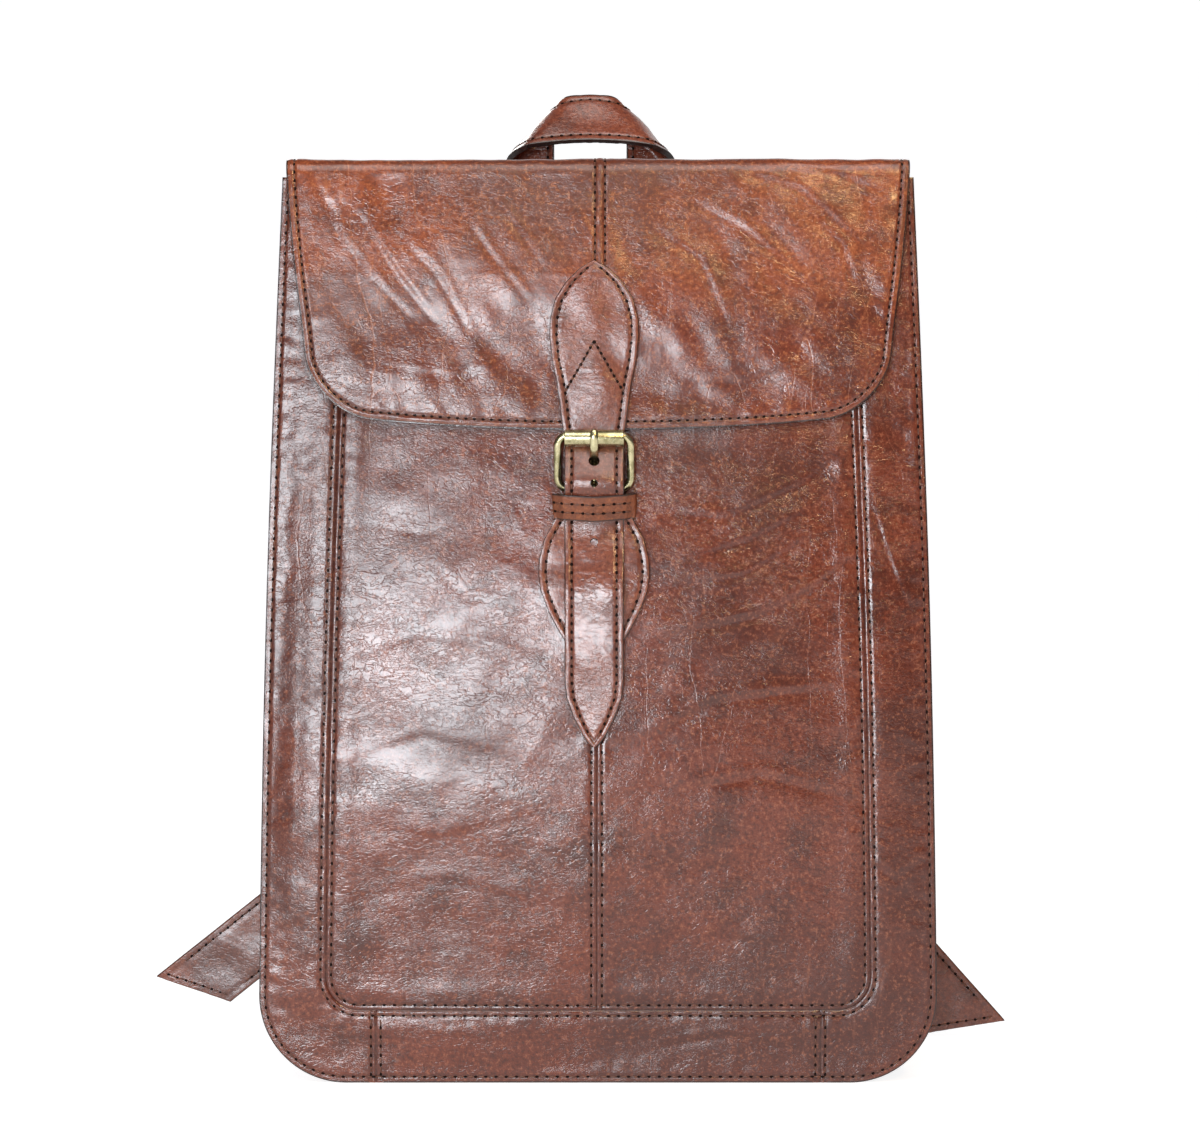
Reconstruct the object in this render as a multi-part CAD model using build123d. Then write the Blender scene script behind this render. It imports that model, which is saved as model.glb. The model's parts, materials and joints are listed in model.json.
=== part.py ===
from build123d import *
from math import asin, cos, degrees, hypot, radians, sin
import os

# A leather backpack with a flap, a roller-buckle closure, a carrying handle and two shoulder straps
# whose ends pass through roller buckles at the bottom corners of the back.
# Millimetres. +X is the bag's right as seen from the front, the front faces -Y, and +Z is up.
# The origin is the middle of the base, on the floor.

# Bag body
BASE_WIDTH = 280.0
TOP_WIDTH = 260.0
PANEL_HEIGHT = 373.0
DEPTH = 100.0
CORNER_RADIUS = 36.0
LEATHER = 2.0
SEAM = 4.5
SLACK = 0.3

# Pieces of the front
SIDE_BORDER = 27.5
BASE_BORDER = 30.0
INNER_CORNER = 14.0
BASE_SEAM_X = 91.5

# Base and lining
BASE_GUSSET_WIDTH = 208.0
BASE_FLAT = 56.0
LINING = 0.8
LINING_DROP = 5.0

# Flap
FLAP_RISE = 8.0
FLAP_TOP = PANEL_HEIGHT + FLAP_RISE
FLAP_WIDTH = 257.0
FLAP_EDGE_WIDTH = 241.0
FLAP_DROP = 112.2
FLAP_EDGE_HEIGHT = FLAP_TOP - FLAP_DROP
FLAP_CORNER = 25.0
FOLD_RADIUS = 8.0
FOLD_RUN = 2.0
FLAP_LINING = 1.0
FLAP_LINING_MARGIN = 1.5
FLAP_GAP = 1.3

# Roller buckles, alike but for their width
BAR_RADIUS = 1.5
BAR_PITCH = 20.6
ROLLER_RADIUS = 3.4
RUN_FIT = 0.1
ROLLER_PLAY = 1.3
BUCKLE_PLAY = 1.2
PRONG_WIDTH = 2.9
PRONG_THICKNESS = 2.2
PRONG_EYE = 3.0
PRONG_KNEE = 8.0
PRONG_KNEE_SET = 2.0
PRONG_FOOT = (1.1, 1.9)
PRONG_CREST = 3.1
PRONG_TIP = 4.2
PRONG_TIP_RUN = 1.0
PRONG_BEND = 3.0
PRONG_SLOT = 4.4
LOOP_LEATHER = 1.6
HOLE_RADIUS = 1.5
PRONG_HOLE_RADIUS = 2.8
PRONG_HOLE_LIFT = 0.6

# Closure strap, its chape and its keeper
CLOSURE_X = -1.6
CLOSURE_WIDTH = 24.6
STRAP_THICKNESS = 2.6
HEAD_WIDTH = 35.0
HEAD_NECK = 27.0
HEAD_DROP = 43.0
HEAD_TIP_Z = FLAP_TOP - HEAD_DROP
HEAD_WIDEST_Z = HEAD_TIP_Z - 28.0
HEAD_SHOULDER = 0.8
HEAD_SHOULDER_DROP = 14.0
ROLLER_DROP = 3.8
ROLLER_HEIGHT = FLAP_EDGE_HEIGHT - ROLLER_DROP
CLOSURE_RUN = 126.2
CLOSURE_TIP_Z = ROLLER_HEIGHT - CLOSURE_RUN
CLOSURE_TAPER = 23.0
CLOSURE_HOLE_DROPS = (11.2, 35.0)
BAR_STANDOFF = 6.0
STRAP_RETURN = 25.0
CHAPE_WIDTH = 45.7
CHAPE_DROP = 31.0
CHAPE_TOP_Z = ROLLER_HEIGHT - CHAPE_DROP
CHAPE_WIDEST_Z = CHAPE_TOP_Z - 25.0
CHAPE_TIP_Z = CHAPE_TOP_Z - 69.0
KEEPER_WIDTH = 34.3
KEEPER_BAND = 10.7
KEEPER_DROP = 3.5

# Handle
HANDLE_WIDTH = 24.0
HANDLE_LEG_GAP = 34.0
HANDLE_RISE = 44.0
HANDLE_TOP = FLAP_TOP + HANDLE_RISE
HANDLE_BASE = PANEL_HEIGHT - 20.0
HANDLE_LEAN = 17.5
HANDLE_SLACK = 0.1
HANDLE_ROOT = 23.0

# Yoke on the back
YOKE_WIDTH = 118.0
YOKE_BOTTOM = PANEL_HEIGHT - 60.0
YOKE_CORNER = 12.0

# Shoulder straps
SHOULDER_WIDTH = 30.0
ANCHOR_STANDOFF = 10.0
STRAP_TOP_X = 34.0
STRAP_TOP_Z = PANEL_HEIGHT - 85.0
TOP_PULL = 75.0
BUCKLE_PULL = 110.0
BOW_SECTIONS = 14
BUCKLE_X = 104.0
SIDES = {"left": -1.0, "right": 1.0}
TAIL_DIP = {"left": 38.5, "right": 48.4}
BUCKLE_Z = {"left": 84.7, "right": 75.1}
TAIL_LENGTH = {"left": 100.8, "right": 93.8}
TAIL_SLANT = 33.0
TAIL_HOLES = (30.0, 52.0, 74.0)
CHAPE_LENGTH = 20.0
JOIN_GAP = 0.4
TAB_RISE = 10.0
TAB_LEVEL = 3.0
TAB_SEWN = 24.0
ROOT_SEWN = 18.0
STRAP_KEEPER_TOP = 8.0
STRAP_KEEPER_BAND = 9.0

# Worked out from the sizes above
HALF_DEPTH = DEPTH / 2
BACK_TOP = FLAP_TOP - LEATHER - FLAP_LINING - SLACK
FLAP_FACE = HALF_DEPTH + FLAP_GAP + FLAP_LINING + LEATHER
LOOP_RADIUS = BAR_RADIUS + RUN_FIT + LOOP_LEATHER
SLOT_REACH = 1.1 * LOOP_RADIUS
ROLLER_REACH = ROLLER_RADIUS + SLACK + STRAP_THICKNESS / 2
BAR_REACH = LOOP_RADIUS + SLACK + STRAP_THICKNESS / 2
CROSSING = degrees(asin((ROLLER_REACH + BAR_REACH) / BAR_PITCH))
STRAP_CROSSING = BAR_PITCH * BAR_REACH / (ROLLER_REACH + BAR_REACH)
PRONG_HOLE_PLACE = STRAP_CROSSING + PRONG_HOLE_LIFT
HANDLE_THICKNESS = STRAP_THICKNESS
HANDLE_FRONT = HALF_DEPTH + SLACK
HANDLE_BACK = HANDLE_FRONT + HANDLE_THICKNESS
ANCHOR_Y = HALF_DEPTH + ANCHOR_STANDOFF

os.makedirs("parts", exist_ok=True)


def save(name, shape):
    """Write one sub-part to its own file."""
    export_step(shape, f"parts/{name}.step")


def slab(outline, back, front):
    """A flat piece with its outline in X and Z, between two depths in Y."""
    plane = Plane(origin=(0, back, 0), x_dir=(1, 0, 0), z_dir=(0, -1, 0))
    return extrude(plane * outline, amount=back - front)


def span(section, start, end):
    """A section drawn in Y and Z, drawn out along X between two places."""
    return extrude(Plane.YZ.offset(start) * section, amount=end - start)


def band(points, radii, thickness):
    """A bent sheet's section: a line with rounded corners, given a thickness."""
    line = FilletPolyline(*points, radius=radii) if radii else Polyline(*points)
    return trace(line, line_width=thickness)


def wrap_corner(centre, reach, before, after):
    """The corner whose arc of radius reach turns about a centre, from one heading to another."""
    inward = (after - before).normalized()
    half_turn = radians(before.get_angle(after)) / 2
    return centre - inward * (reach / cos(half_turn))


# ---------------------------------------------------------------- bag body


def half_width(height):
    """Half a panel's width: the panels narrow towards the top."""
    return (BASE_WIDTH + (TOP_WIDTH - BASE_WIDTH) * height / PANEL_HEIGHT) / 2


def panel_shape(inset, base_inset, top, radius):
    """A panel's outline set in from the edge, with round bottom corners."""
    slope = hypot(PANEL_HEIGHT, (BASE_WIDTH - TOP_WIDTH) / 2) / PANEL_HEIGHT
    low = half_width(base_inset) - inset * slope
    high = half_width(top) - inset * slope
    corners = [(-high, top), (-low, base_inset), (low, base_inset), (high, top)]
    shape = Polygon(*corners, align=None)
    return fillet(shape.vertices().group_by(Axis.Y)[0], radius)


def outline(inset, top=PANEL_HEIGHT):
    """The outline at an even inset all round."""
    return panel_shape(inset, inset, top, CORNER_RADIUS - inset)


def between(shape, low_x, high_x):
    """The part of a shape between two places in X."""
    width = high_x - low_x
    middle = (low_x + high_x) / 2
    return shape & Pos(middle, 0, FLAP_TOP / 2) * Box(width, 4 * DEPTH, 2 * FLAP_TOP)


front = slab(outline(0), -HALF_DEPTH + LEATHER, -HALF_DEPTH)
centre_shape = panel_shape(SIDE_BORDER, BASE_BORDER, PANEL_HEIGHT, INNER_CORNER)
centre = slab(centre_shape, -HALF_DEPTH + LEATHER, -HALF_DEPTH)
border = front - centre
save("front_centre_left", between(centre, -BASE_WIDTH, 0))
save("front_centre_right", between(centre, 0, BASE_WIDTH))
save("front_border_left", between(border, -BASE_WIDTH, -BASE_SEAM_X))
save("front_border_right", between(border, BASE_SEAM_X, BASE_WIDTH))
save("front_border_base", between(border, -BASE_SEAM_X, BASE_SEAM_X))
save("back_panel", slab(outline(0, BACK_TOP), HALF_DEPTH, HALF_DEPTH - LEATHER))


def gusset_ring():
    """The sides and base as one strip, with its seam edges turned out along both panels."""
    inner = HALF_DEPTH - LEATHER
    strip = slab(outline(SEAM), inner, -inner) - slab(outline(SEAM + LEATHER), inner, -inner)
    edge = outline(0) - outline(SEAM + LEATHER)
    return strip + slab(edge, inner, inner - LEATHER) + slab(edge, -inner + LEATHER, -inner)


def base_gusset():
    """The base strip, which sags from its seams on to the floor."""
    outer = HALF_DEPTH - LEATHER
    inner = outer - LEATHER
    flat = BASE_FLAT / 2
    rise = SEAM + LEATHER
    right = [(inner, SEAM), (inner, 0), (outer, 0), (outer, rise), (inner, rise), (flat, LEATHER)]
    left = [(-y, z) for y, z in reversed(right)]
    section = Polygon((-flat, 0), (flat, 0), *right, *left, align=None)
    return span(section, -BASE_GUSSET_WIDTH / 2, BASE_GUSSET_WIDTH / 2)


ring = gusset_ring()
save("gusset_left", between(ring, -BASE_WIDTH, -BASE_GUSSET_WIDTH / 2))
save("gusset_right", between(ring, BASE_GUSSET_WIDTH / 2, BASE_WIDTH))
save("base_gusset", base_gusset())


def lining():
    """The cloth bag inside, open at the top."""
    inset = SEAM + LEATHER + SLACK
    reach = HALF_DEPTH - 2 * LEATHER - SLACK
    top = PANEL_HEIGHT - LINING_DROP
    bag = slab(outline(inset, top), reach, -reach)
    return bag - slab(outline(inset + LINING, top), reach - LINING, -reach + LINING)


save("lining", lining())

# ---------------------------------------------------------------- flap

FOLD_Y = -(FLAP_FACE - FOLD_RADIUS - FOLD_RUN)
FLAP_BACK = HALF_DEPTH - 2 * SLACK


def flap_layer(depth_in, thickness, margin):
    """One layer of the flap over the bag's top: its depth under the face and its own thickness."""
    width = FLAP_WIDTH - 2 * margin
    length = FLAP_BACK - FOLD_Y - margin
    middle = FOLD_Y + length / 2
    height = FLAP_TOP - depth_in - thickness / 2
    return Pos(0, middle, height) * Box(width, length, thickness)


def flap_drop(depth_in, thickness, margin):
    """One layer of the flap's front: round the fold and down to the shaped lower edge."""
    bend = FOLD_RADIUS - depth_in - thickness / 2
    top = FLAP_TOP - depth_in - thickness / 2
    face = -FLAP_FACE + depth_in + thickness / 2
    path = [(FOLD_Y, top), (face, top), (face, FLAP_EDGE_HEIGHT - FLAP_CORNER)]
    sheet = span(band(path, [bend], thickness), -FLAP_WIDTH / 2, FLAP_WIDTH / 2)
    low = FLAP_EDGE_WIDTH / 2 - margin
    high = FLAP_WIDTH / 2 - margin
    edge = FLAP_EDGE_HEIGHT + margin
    shape = Polygon((-high, FLAP_TOP), (-low, edge), (low, edge), (high, FLAP_TOP), align=None)
    shape = fillet(shape.vertices().group_by(Axis.Y)[0], FLAP_CORNER)
    return sheet & slab(shape, 0, -DEPTH)


top_leather = flap_layer(0, LEATHER, 0)
save("flap_top_left", between(top_leather, -FLAP_WIDTH, 0))
save("flap_top_right", between(top_leather, 0, FLAP_WIDTH))
save("flap_top_lining", flap_layer(LEATHER, FLAP_LINING, FLAP_LINING_MARGIN))
front_leather = flap_drop(0, LEATHER, 0)
save("flap_front_left", between(front_leather, -FLAP_WIDTH, 0))
save("flap_front_right", between(front_leather, 0, FLAP_WIDTH))
save("flap_front_lining", flap_drop(LEATHER, FLAP_LINING, FLAP_LINING_MARGIN))

# ---------------------------------------------------------------- buckles
# A buckle is drawn with its base bar along X through the origin and its roller above it on +Z.
# Its outer face looks to -Y. The strap comes down behind the roller, crosses through the frame
# and goes on down in front of the base bar.


def rod(start, end, radius):
    """A round bar with ball ends."""
    line = Vector(*end) - Vector(*start)
    plane = Plane(origin=start, z_dir=line)
    body = extrude(plane * Circle(radius), amount=line.length)
    return body + Pos(*start) * Sphere(radius) + Pos(*end) * Sphere(radius)


def buckle_frame(strap_width):
    """The frame: a ring of round bar."""
    side = strap_width / 2 + BUCKLE_PLAY + BAR_RADIUS
    corners = [(-side, 0, 0), (side, 0, 0), (side, 0, BAR_PITCH), (-side, 0, BAR_PITCH)]
    bars = [rod(corners[i], corners[(i + 1) % 4], BAR_RADIUS) for i in range(4)]
    return bars[0] + bars[1] + bars[2] + bars[3]


def buckle_roller(strap_width):
    """The roller on the frame's top bar."""
    length = strap_width + 2 * BUCKLE_PLAY - 2 * ROLLER_PLAY
    tube = Cylinder(ROLLER_RADIUS, length) - Cylinder(BAR_RADIUS + RUN_FIT, length)
    return Pos(0, 0, BAR_PITCH) * Rot(0, 90, 0) * tube


def buckle_prong():
    """The prong: an eye on the base bar, through the strap's hole and over the roller."""
    rest = ROLLER_RADIUS + PRONG_THICKNESS / 2 + RUN_FIT
    start = [PRONG_FOOT, (PRONG_KNEE_SET, PRONG_KNEE), (-rest, BAR_PITCH - PRONG_CREST)]
    tip = [(-rest, BAR_PITCH + PRONG_TIP_RUN), (PRONG_TIP_RUN - rest, BAR_PITCH + PRONG_TIP)]
    shank = band(start + tip, [PRONG_BEND] * 3, PRONG_THICKNESS)
    bore = Circle(BAR_RADIUS + RUN_FIT)
    return span((shank + Circle(PRONG_EYE)) - bore, -PRONG_WIDTH / 2, PRONG_WIDTH / 2)


def chape_loop(width):
    """The end of a chape, wrapped round the base bar, with its slot for the prong."""
    loop = span(Circle(LOOP_RADIUS) - Circle(BAR_RADIUS + RUN_FIT), -width / 2, width / 2)
    return loop - prong_cut()


def prong_cut():
    """What the prong's slot takes out of the leather round the base bar."""
    return Box(PRONG_SLOT, 2 * SLOT_REACH, 2 * SLOT_REACH)


def bar_clearance(width):
    """The room that the base bar takes inside its leather loop."""
    return span(Circle(BAR_RADIUS + RUN_FIT), -width / 2, width / 2)


# ---------------------------------------------------------------- closure

STRAP_Y = -(FLAP_FACE + STRAP_THICKNESS / 2)
ROLLER_Y = STRAP_Y - ROLLER_REACH
BAR_Y = -(HALF_DEPTH + BAR_STANDOFF)
LEAN = degrees(asin((BAR_Y - ROLLER_Y) / BAR_PITCH))
BAR_Z = ROLLER_HEIGHT - BAR_PITCH * cos(radians(LEAN))
TAIL_Y = -(HALF_DEPTH + LEATHER + SLACK + STRAP_THICKNESS / 2)
closure_plane = Plane(
    origin=(CLOSURE_X, BAR_Y, BAR_Z),
    x_dir=(1, 0, 0),
    z_dir=(0, -sin(radians(LEAN)), cos(radians(LEAN))),
)
save("closure_buckle_frame", closure_plane.location * buckle_frame(CLOSURE_WIDTH))
save("closure_roller", closure_plane.location * buckle_roller(CLOSURE_WIDTH))
save("closure_prong", closure_plane.location * buckle_prong())


def heading(turn):
    """A unit step in Y and Z, turned from straight down towards the front."""
    return Vector(-sin(radians(turn)), -cos(radians(turn)))


def closure_path():
    """The strap's middle line in Y and Z: down the flap, through the buckle, down the front."""
    down = heading(0)
    outward = heading(CROSSING - LEAN)
    inward = heading(-STRAP_RETURN)
    at_roller = wrap_corner(Vector(ROLLER_Y, ROLLER_HEIGHT), ROLLER_REACH, down, outward)
    at_bar = wrap_corner(Vector(BAR_Y, BAR_Z), BAR_REACH, outward, inward)
    landing = at_bar + inward * ((TAIL_Y - at_bar.X) / inward.X)
    top = Vector(STRAP_Y, HEAD_TIP_Z)
    tip = Vector(TAIL_Y, CLOSURE_TIP_Z)
    return [top, at_roller, at_bar, landing, tip]


def closure_outline():
    """The strap's outline from the front: a leaf-shaped head, a plain run and a pointed tip."""
    neck_z = ROLLER_HEIGHT + ROLLER_RADIUS + STRAP_THICKNESS
    half = CLOSURE_WIDTH / 2
    head = HEAD_WIDTH / 2
    neck = HEAD_NECK / 2
    shoulder = CLOSURE_TIP_Z + CLOSURE_TAPER
    head_shoulder = (head * HEAD_SHOULDER, HEAD_TIP_Z - HEAD_SHOULDER_DROP)
    with BuildSketch() as sketch:
        with BuildLine():
            ThreePointArc((0, HEAD_TIP_Z), head_shoulder, (head, HEAD_WIDEST_Z))
            Line((head, HEAD_WIDEST_Z), (neck, neck_z + HEAD_NECK / 2))
            Line((neck, neck_z + HEAD_NECK / 2), (half, neck_z))
            Line((half, neck_z), (half, shoulder))
            Line((half, shoulder), (0, CLOSURE_TIP_Z))
            Line((0, CLOSURE_TIP_Z), (0, HEAD_TIP_Z))
        make_face()
        mirror(about=Plane.YZ)
    return sketch.sketch


def through_hole(radius, height):
    """A hole through a strap from front to back."""
    return Pos(0, 0, height) * Rot(90, 0, 0) * Cylinder(radius, DEPTH + HALF_DEPTH)


def closure_strap():
    """The strap sewn to the flap, with its row of holes."""
    section = band(closure_path(), [BAR_PITCH, BAR_REACH, BAR_PITCH], STRAP_THICKNESS)
    strap = span(section, -HEAD_WIDTH, HEAD_WIDTH) & slab(closure_outline(), 0, -DEPTH)
    prong_z = BAR_Z + PRONG_HOLE_PLACE
    strap -= through_hole(PRONG_HOLE_RADIUS, prong_z)
    for drop in CLOSURE_HOLE_DROPS:
        strap -= through_hole(HOLE_RADIUS, prong_z - drop)
    return Pos(CLOSURE_X, 0, 0) * strap


save("closure_strap", closure_strap())


def chape_leaf():
    """The leaf sewn to the front, drawn together at the top to hold the buckle's base bar."""
    half = CLOSURE_WIDTH / 2
    wide = CHAPE_WIDTH / 2
    with BuildSketch() as sketch:
        with BuildLine():
            ThreePointArc((half, CHAPE_TOP_Z), (wide, CHAPE_WIDEST_Z), (0, CHAPE_TIP_Z))
            Line((0, CHAPE_TIP_Z), (0, CHAPE_TOP_Z))
            Line((0, CHAPE_TOP_Z), (half, CHAPE_TOP_Z))
        make_face()
        mirror(about=Plane.YZ)
    leaf = slab(sketch.sketch, -HALF_DEPTH, -HALF_DEPTH - LEATHER)
    foot = (-HALF_DEPTH - LOOP_LEATHER, CHAPE_TOP_Z - LOOP_LEATHER)
    web = span(band([(BAR_Y, BAR_Z), foot], [], 2 * LOOP_LEATHER), -half, half)
    web = web & Pos(0, -HALF_DEPTH - DEPTH / 2, BAR_Z) * Box(DEPTH, DEPTH, DEPTH)
    loop = Pos(0, BAR_Y, BAR_Z) * chape_loop(CLOSURE_WIDTH)
    web = web - Pos(0, BAR_Y, BAR_Z) * bar_clearance(CLOSURE_WIDTH)
    web = web - Pos(0, BAR_Y, BAR_Z) * prong_cut()
    return Pos(CLOSURE_X, 0, 0) * (leaf + web + loop)


chape = chape_leaf()
save("chape_leaf", chape)


def closure_keeper():
    """The loop below the buckle: a bridge over the strap, its ends on the front."""
    along = heading(-STRAP_RETURN)
    at_bar = closure_path()[2]
    middle = at_bar + along * (KEEPER_DROP + KEEPER_BAND / 2)
    plane = Plane(
        origin=(CLOSURE_X, middle.X, middle.Y),
        x_dir=(1, 0, 0),
        z_dir=(0, -along.X, -along.Y),
    )
    inside = STRAP_THICKNESS / 2 + SLACK
    outside = inside + LOOP_LEATHER
    reach = DEPTH / 4
    room = KEEPER_WIDTH - 2 * LOOP_LEATHER
    bridge = Pos(0, reach / 2 - outside, 0) * Box(KEEPER_WIDTH, reach, KEEPER_BAND)
    bridge = bridge - Pos(0, reach / 2 - inside, 0) * Box(room, reach, 2 * KEEPER_BAND)
    space = Pos(0, -HALF_DEPTH - DEPTH / 2, BAR_Z) * Box(DEPTH, DEPTH, DEPTH)
    return (plane.location * bridge) & space


save("closure_keeper", closure_keeper() - chape)

# ---------------------------------------------------------------- handle and yoke


def handle():
    """The handle: two legs that fold forward over the top and meet in a cross bar."""
    inner = HANDLE_LEG_GAP / 2
    outer = inner + HANDLE_WIDTH
    back_y = HANDLE_FRONT + HANDLE_THICKNESS / 2
    front_y = back_y - HANDLE_LEAN
    crown = HANDLE_TOP - HANDLE_THICKNESS / 2
    bar_low = HANDLE_TOP - HANDLE_WIDTH
    path = [(back_y, HANDLE_BASE), (back_y, crown), (front_y, crown), (front_y, bar_low)]
    bend = HANDLE_LEAN / 2 - HANDLE_SLACK
    hook = band(path, [bend, bend], HANDLE_THICKNESS)
    legs = span(hook, inner, outer) + span(hook, -outer, -inner)
    bar = span(band([(front_y, HANDLE_TOP), (front_y, bar_low)], [], HANDLE_THICKNESS), -outer, outer)
    return legs + bar


save("handle", handle())


def on_back(shape, level, thickness):
    """A flat piece lying on the back at a level behind the panel."""
    start = HALF_DEPTH + level
    return slab(shape, start + thickness, start)


root_height = HANDLE_BASE - JOIN_GAP - HANDLE_ROOT / 2
root_x = (HANDLE_LEG_GAP + HANDLE_WIDTH) / 2
root_shape = Pos(root_x, root_height) * Rectangle(HANDLE_WIDTH, HANDLE_ROOT)
root_shape = root_shape + Pos(-root_x, root_height) * Rectangle(HANDLE_WIDTH, HANDLE_ROOT)
save("handle_roots", on_back(root_shape, 0, HANDLE_THICKNESS))

yoke_height = HANDLE_BASE - 2 * JOIN_GAP - YOKE_BOTTOM
yoke_shape = RectangleRounded(YOKE_WIDTH, yoke_height, YOKE_CORNER)
yoke_shape = Pos(0, YOKE_BOTTOM + yoke_height / 2) * yoke_shape
save("back_yoke", on_back(yoke_shape, STRAP_THICKNESS, LEATHER))

# ---------------------------------------------------------------- shoulder straps
# Each strap hangs from a root under the yoke, bows out behind the back, comes down through the
# buckle and leaves a free tail that points out past the bottom corner.


def swing_plane(side):
    """A plane at the strap's upper end, its Z up the line through both of the strap's anchors."""
    top, bottom = strap_ends(side)
    up = (top - bottom).normalized()
    return Plane(origin=top, x_dir=Vector(0, -1, 0).cross(up), z_dir=up)


def tail_direction(side):
    """The way the tail points: out and down."""
    dip = radians(TAIL_DIP[side])
    return Vector(SIDES[side] * cos(dip), 0, -sin(dip))


def strap_ends(side):
    """The two points that the strap swings about: its upper end and the end of its chape."""
    top = Vector(SIDES[side] * STRAP_TOP_X, ANCHOR_Y, STRAP_TOP_Z)
    bar = Vector(SIDES[side] * BUCKLE_X, ANCHOR_Y, BUCKLE_Z[side])
    return top, bar + tail_direction(side) * CHAPE_LENGTH


def seat_plane(side, lean):
    """A plane on the buckle's base bar, its Z towards the roller and its -Y away from the back."""
    up = tail_direction(side) * -1
    out = Vector(0, 1, 0)
    tilted = up * cos(radians(lean)) + out * sin(radians(lean))
    bar = Vector(SIDES[side] * BUCKLE_X, ANCHOR_Y, BUCKLE_Z[side])
    return Plane(origin=bar, x_dir=Vector(0, -1, 0).cross(up), z_dir=tilted)


def anchor_strip(width, sewn):
    """A strip sewn to the back that rises to the strap's level, starting just past the origin."""
    level = ANCHOR_STANDOFF - STRAP_THICKNESS / 2
    rise = JOIN_GAP + TAB_LEVEL + TAB_RISE
    path = [(0, JOIN_GAP), (0, JOIN_GAP + TAB_LEVEL), (level, rise), (level, rise + sewn)]
    return span(band(path, [4.0, 4.0], STRAP_THICKNESS), -width / 2, width / 2)


def buckle_run(side):
    """The strap from above the roller, through the frame and out to the tail's cut end."""
    plane = seat_plane(side, CROSSING)
    above = Vector(ROLLER_REACH, BAR_PITCH + ROLLER_RADIUS + BAR_PITCH / 2)
    out = heading(CROSSING)
    at_roller = wrap_corner(Vector(0, BAR_PITCH), ROLLER_REACH, heading(0), out)
    beyond = at_roller + out * (BAR_PITCH + TAIL_LENGTH[side] + SHOULDER_WIDTH)
    section = band([above, at_roller, beyond], [ROLLER_REACH], STRAP_THICKNESS)
    half = SHOULDER_WIDTH / 2
    run = plane.location * span(section, -half, half)
    flat = seat_plane(side, 0)
    slant = -SIDES[side] * TAIL_SLANT
    beyond_cut = Pos(0, 0, -DEPTH) * Box(3 * DEPTH, DEPTH, 2 * DEPTH)
    run = run - flat.location * Pos(0, 0, -TAIL_LENGTH[side]) * Rot(0, slant, 0) * beyond_cut
    run = run - plane.location * Pos(0, 0, PRONG_HOLE_PLACE) * short_hole(PRONG_HOLE_RADIUS)
    for place in TAIL_HOLES:
        run = run - flat.location * Pos(0, 0, -place) * short_hole(HOLE_RADIUS)
    return run, plane.from_local_coords(Vector(0, above.X, above.Y)), plane


def short_hole(radius):
    """A hole through one run of a shoulder strap."""
    return Rot(90, 0, 0) * Cylinder(radius, 2 * BAR_PITCH)


def strap_section(point, along, across):
    """The strap's section at a point: a thin rectangle square to its run."""
    level = (across - along * across.dot(along)).normalized()
    plane = Plane(origin=point, x_dir=level, z_dir=along)
    return plane * Rectangle(SHOULDER_WIDTH, STRAP_THICKNESS)


def strap_bow(side, low_end, buckle_plane):
    """The bowed run from the upper end down to the buckle."""
    top_plane = swing_plane(side)
    start = top_plane.origin
    points = [
        start,
        start - top_plane.z_dir * TOP_PULL,
        low_end + buckle_plane.z_dir * BUCKLE_PULL,
        low_end,
    ]
    sections = []
    for i in range(BOW_SECTIONS + 1):
        t = i / BOW_SECTIONS
        s = 1 - t
        place = points[0] * s**3 + points[1] * (3 * t * s**2)
        place = place + points[2] * (3 * t**2 * s) + points[3] * t**3
        step_a = (points[1] - points[0]) * s**2
        step_b = (points[2] - points[1]) * (2 * t * s)
        step_c = (points[3] - points[2]) * t**2
        across = top_plane.x_dir * s + buckle_plane.x_dir * t
        sections.append(strap_section(place, (step_a + step_b + step_c).normalized(), across))
    return loft(sections, ruled=True)


def strap_chape(side):
    """The doubled piece that holds the base bar and joins the tab on the corner."""
    width = SHOULDER_WIDTH - 2 * BUCKLE_PLAY
    web = span(band([(0, 0), (0, -CHAPE_LENGTH)], [], 2 * LOOP_LEATHER), -width / 2, width / 2)
    web = web - bar_clearance(width) - prong_cut()
    return seat_plane(side, 0).location * (web + chape_loop(width))


def strap_keeper(side):
    """The loop that holds the tail against the chape."""
    inner = LOOP_LEATHER + SLACK
    outer = -(BAR_REACH + STRAP_THICKNESS / 2 + SLACK)
    width = SHOULDER_WIDTH + 2 * BUCKLE_PLAY
    middle = (inner + outer) / 2
    depth = inner - outer
    wall = 2 * LOOP_LEATHER
    loop = Box(width + wall, depth + wall, STRAP_KEEPER_BAND) - Box(width, depth, 2 * STRAP_KEEPER_BAND)
    place = -STRAP_KEEPER_TOP - STRAP_KEEPER_BAND / 2
    return seat_plane(side, 0).location * Pos(0, middle, place) * loop


def strap_tab(side):
    """The tab sewn into the bottom corner, its end caught in the corner seam."""
    seat = seat_plane(side, 0)
    down = Plane(origin=strap_ends(side)[1], x_dir=seat.x_dir * -1, z_dir=seat.z_dir * -1)
    strip = down.location * anchor_strip(SHOULDER_WIDTH - 2 * BUCKLE_PLAY, TAB_SEWN)
    return strip & slab(outline(0), HALF_DEPTH + DEPTH, HALF_DEPTH)


for name in SIDES:
    run, low_end, buckle_plane = buckle_run(name)
    save(f"shoulder_strap_{name}", run + strap_bow(name, low_end, buckle_plane))
    save(f"strap_root_{name}", swing_plane(name).location * anchor_strip(SHOULDER_WIDTH, ROOT_SEWN))
    save(f"strap_chape_{name}", strap_chape(name))
    save(f"strap_keeper_{name}", strap_keeper(name))
    save(f"strap_tab_{name}", strap_tab(name))
    save(f"strap_buckle_{name}", buckle_plane.location * buckle_frame(SHOULDER_WIDTH))
    save(f"strap_roller_{name}", buckle_plane.location * buckle_roller(SHOULDER_WIDTH))
    save(f"strap_prong_{name}", buckle_plane.location * buckle_prong())
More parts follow.
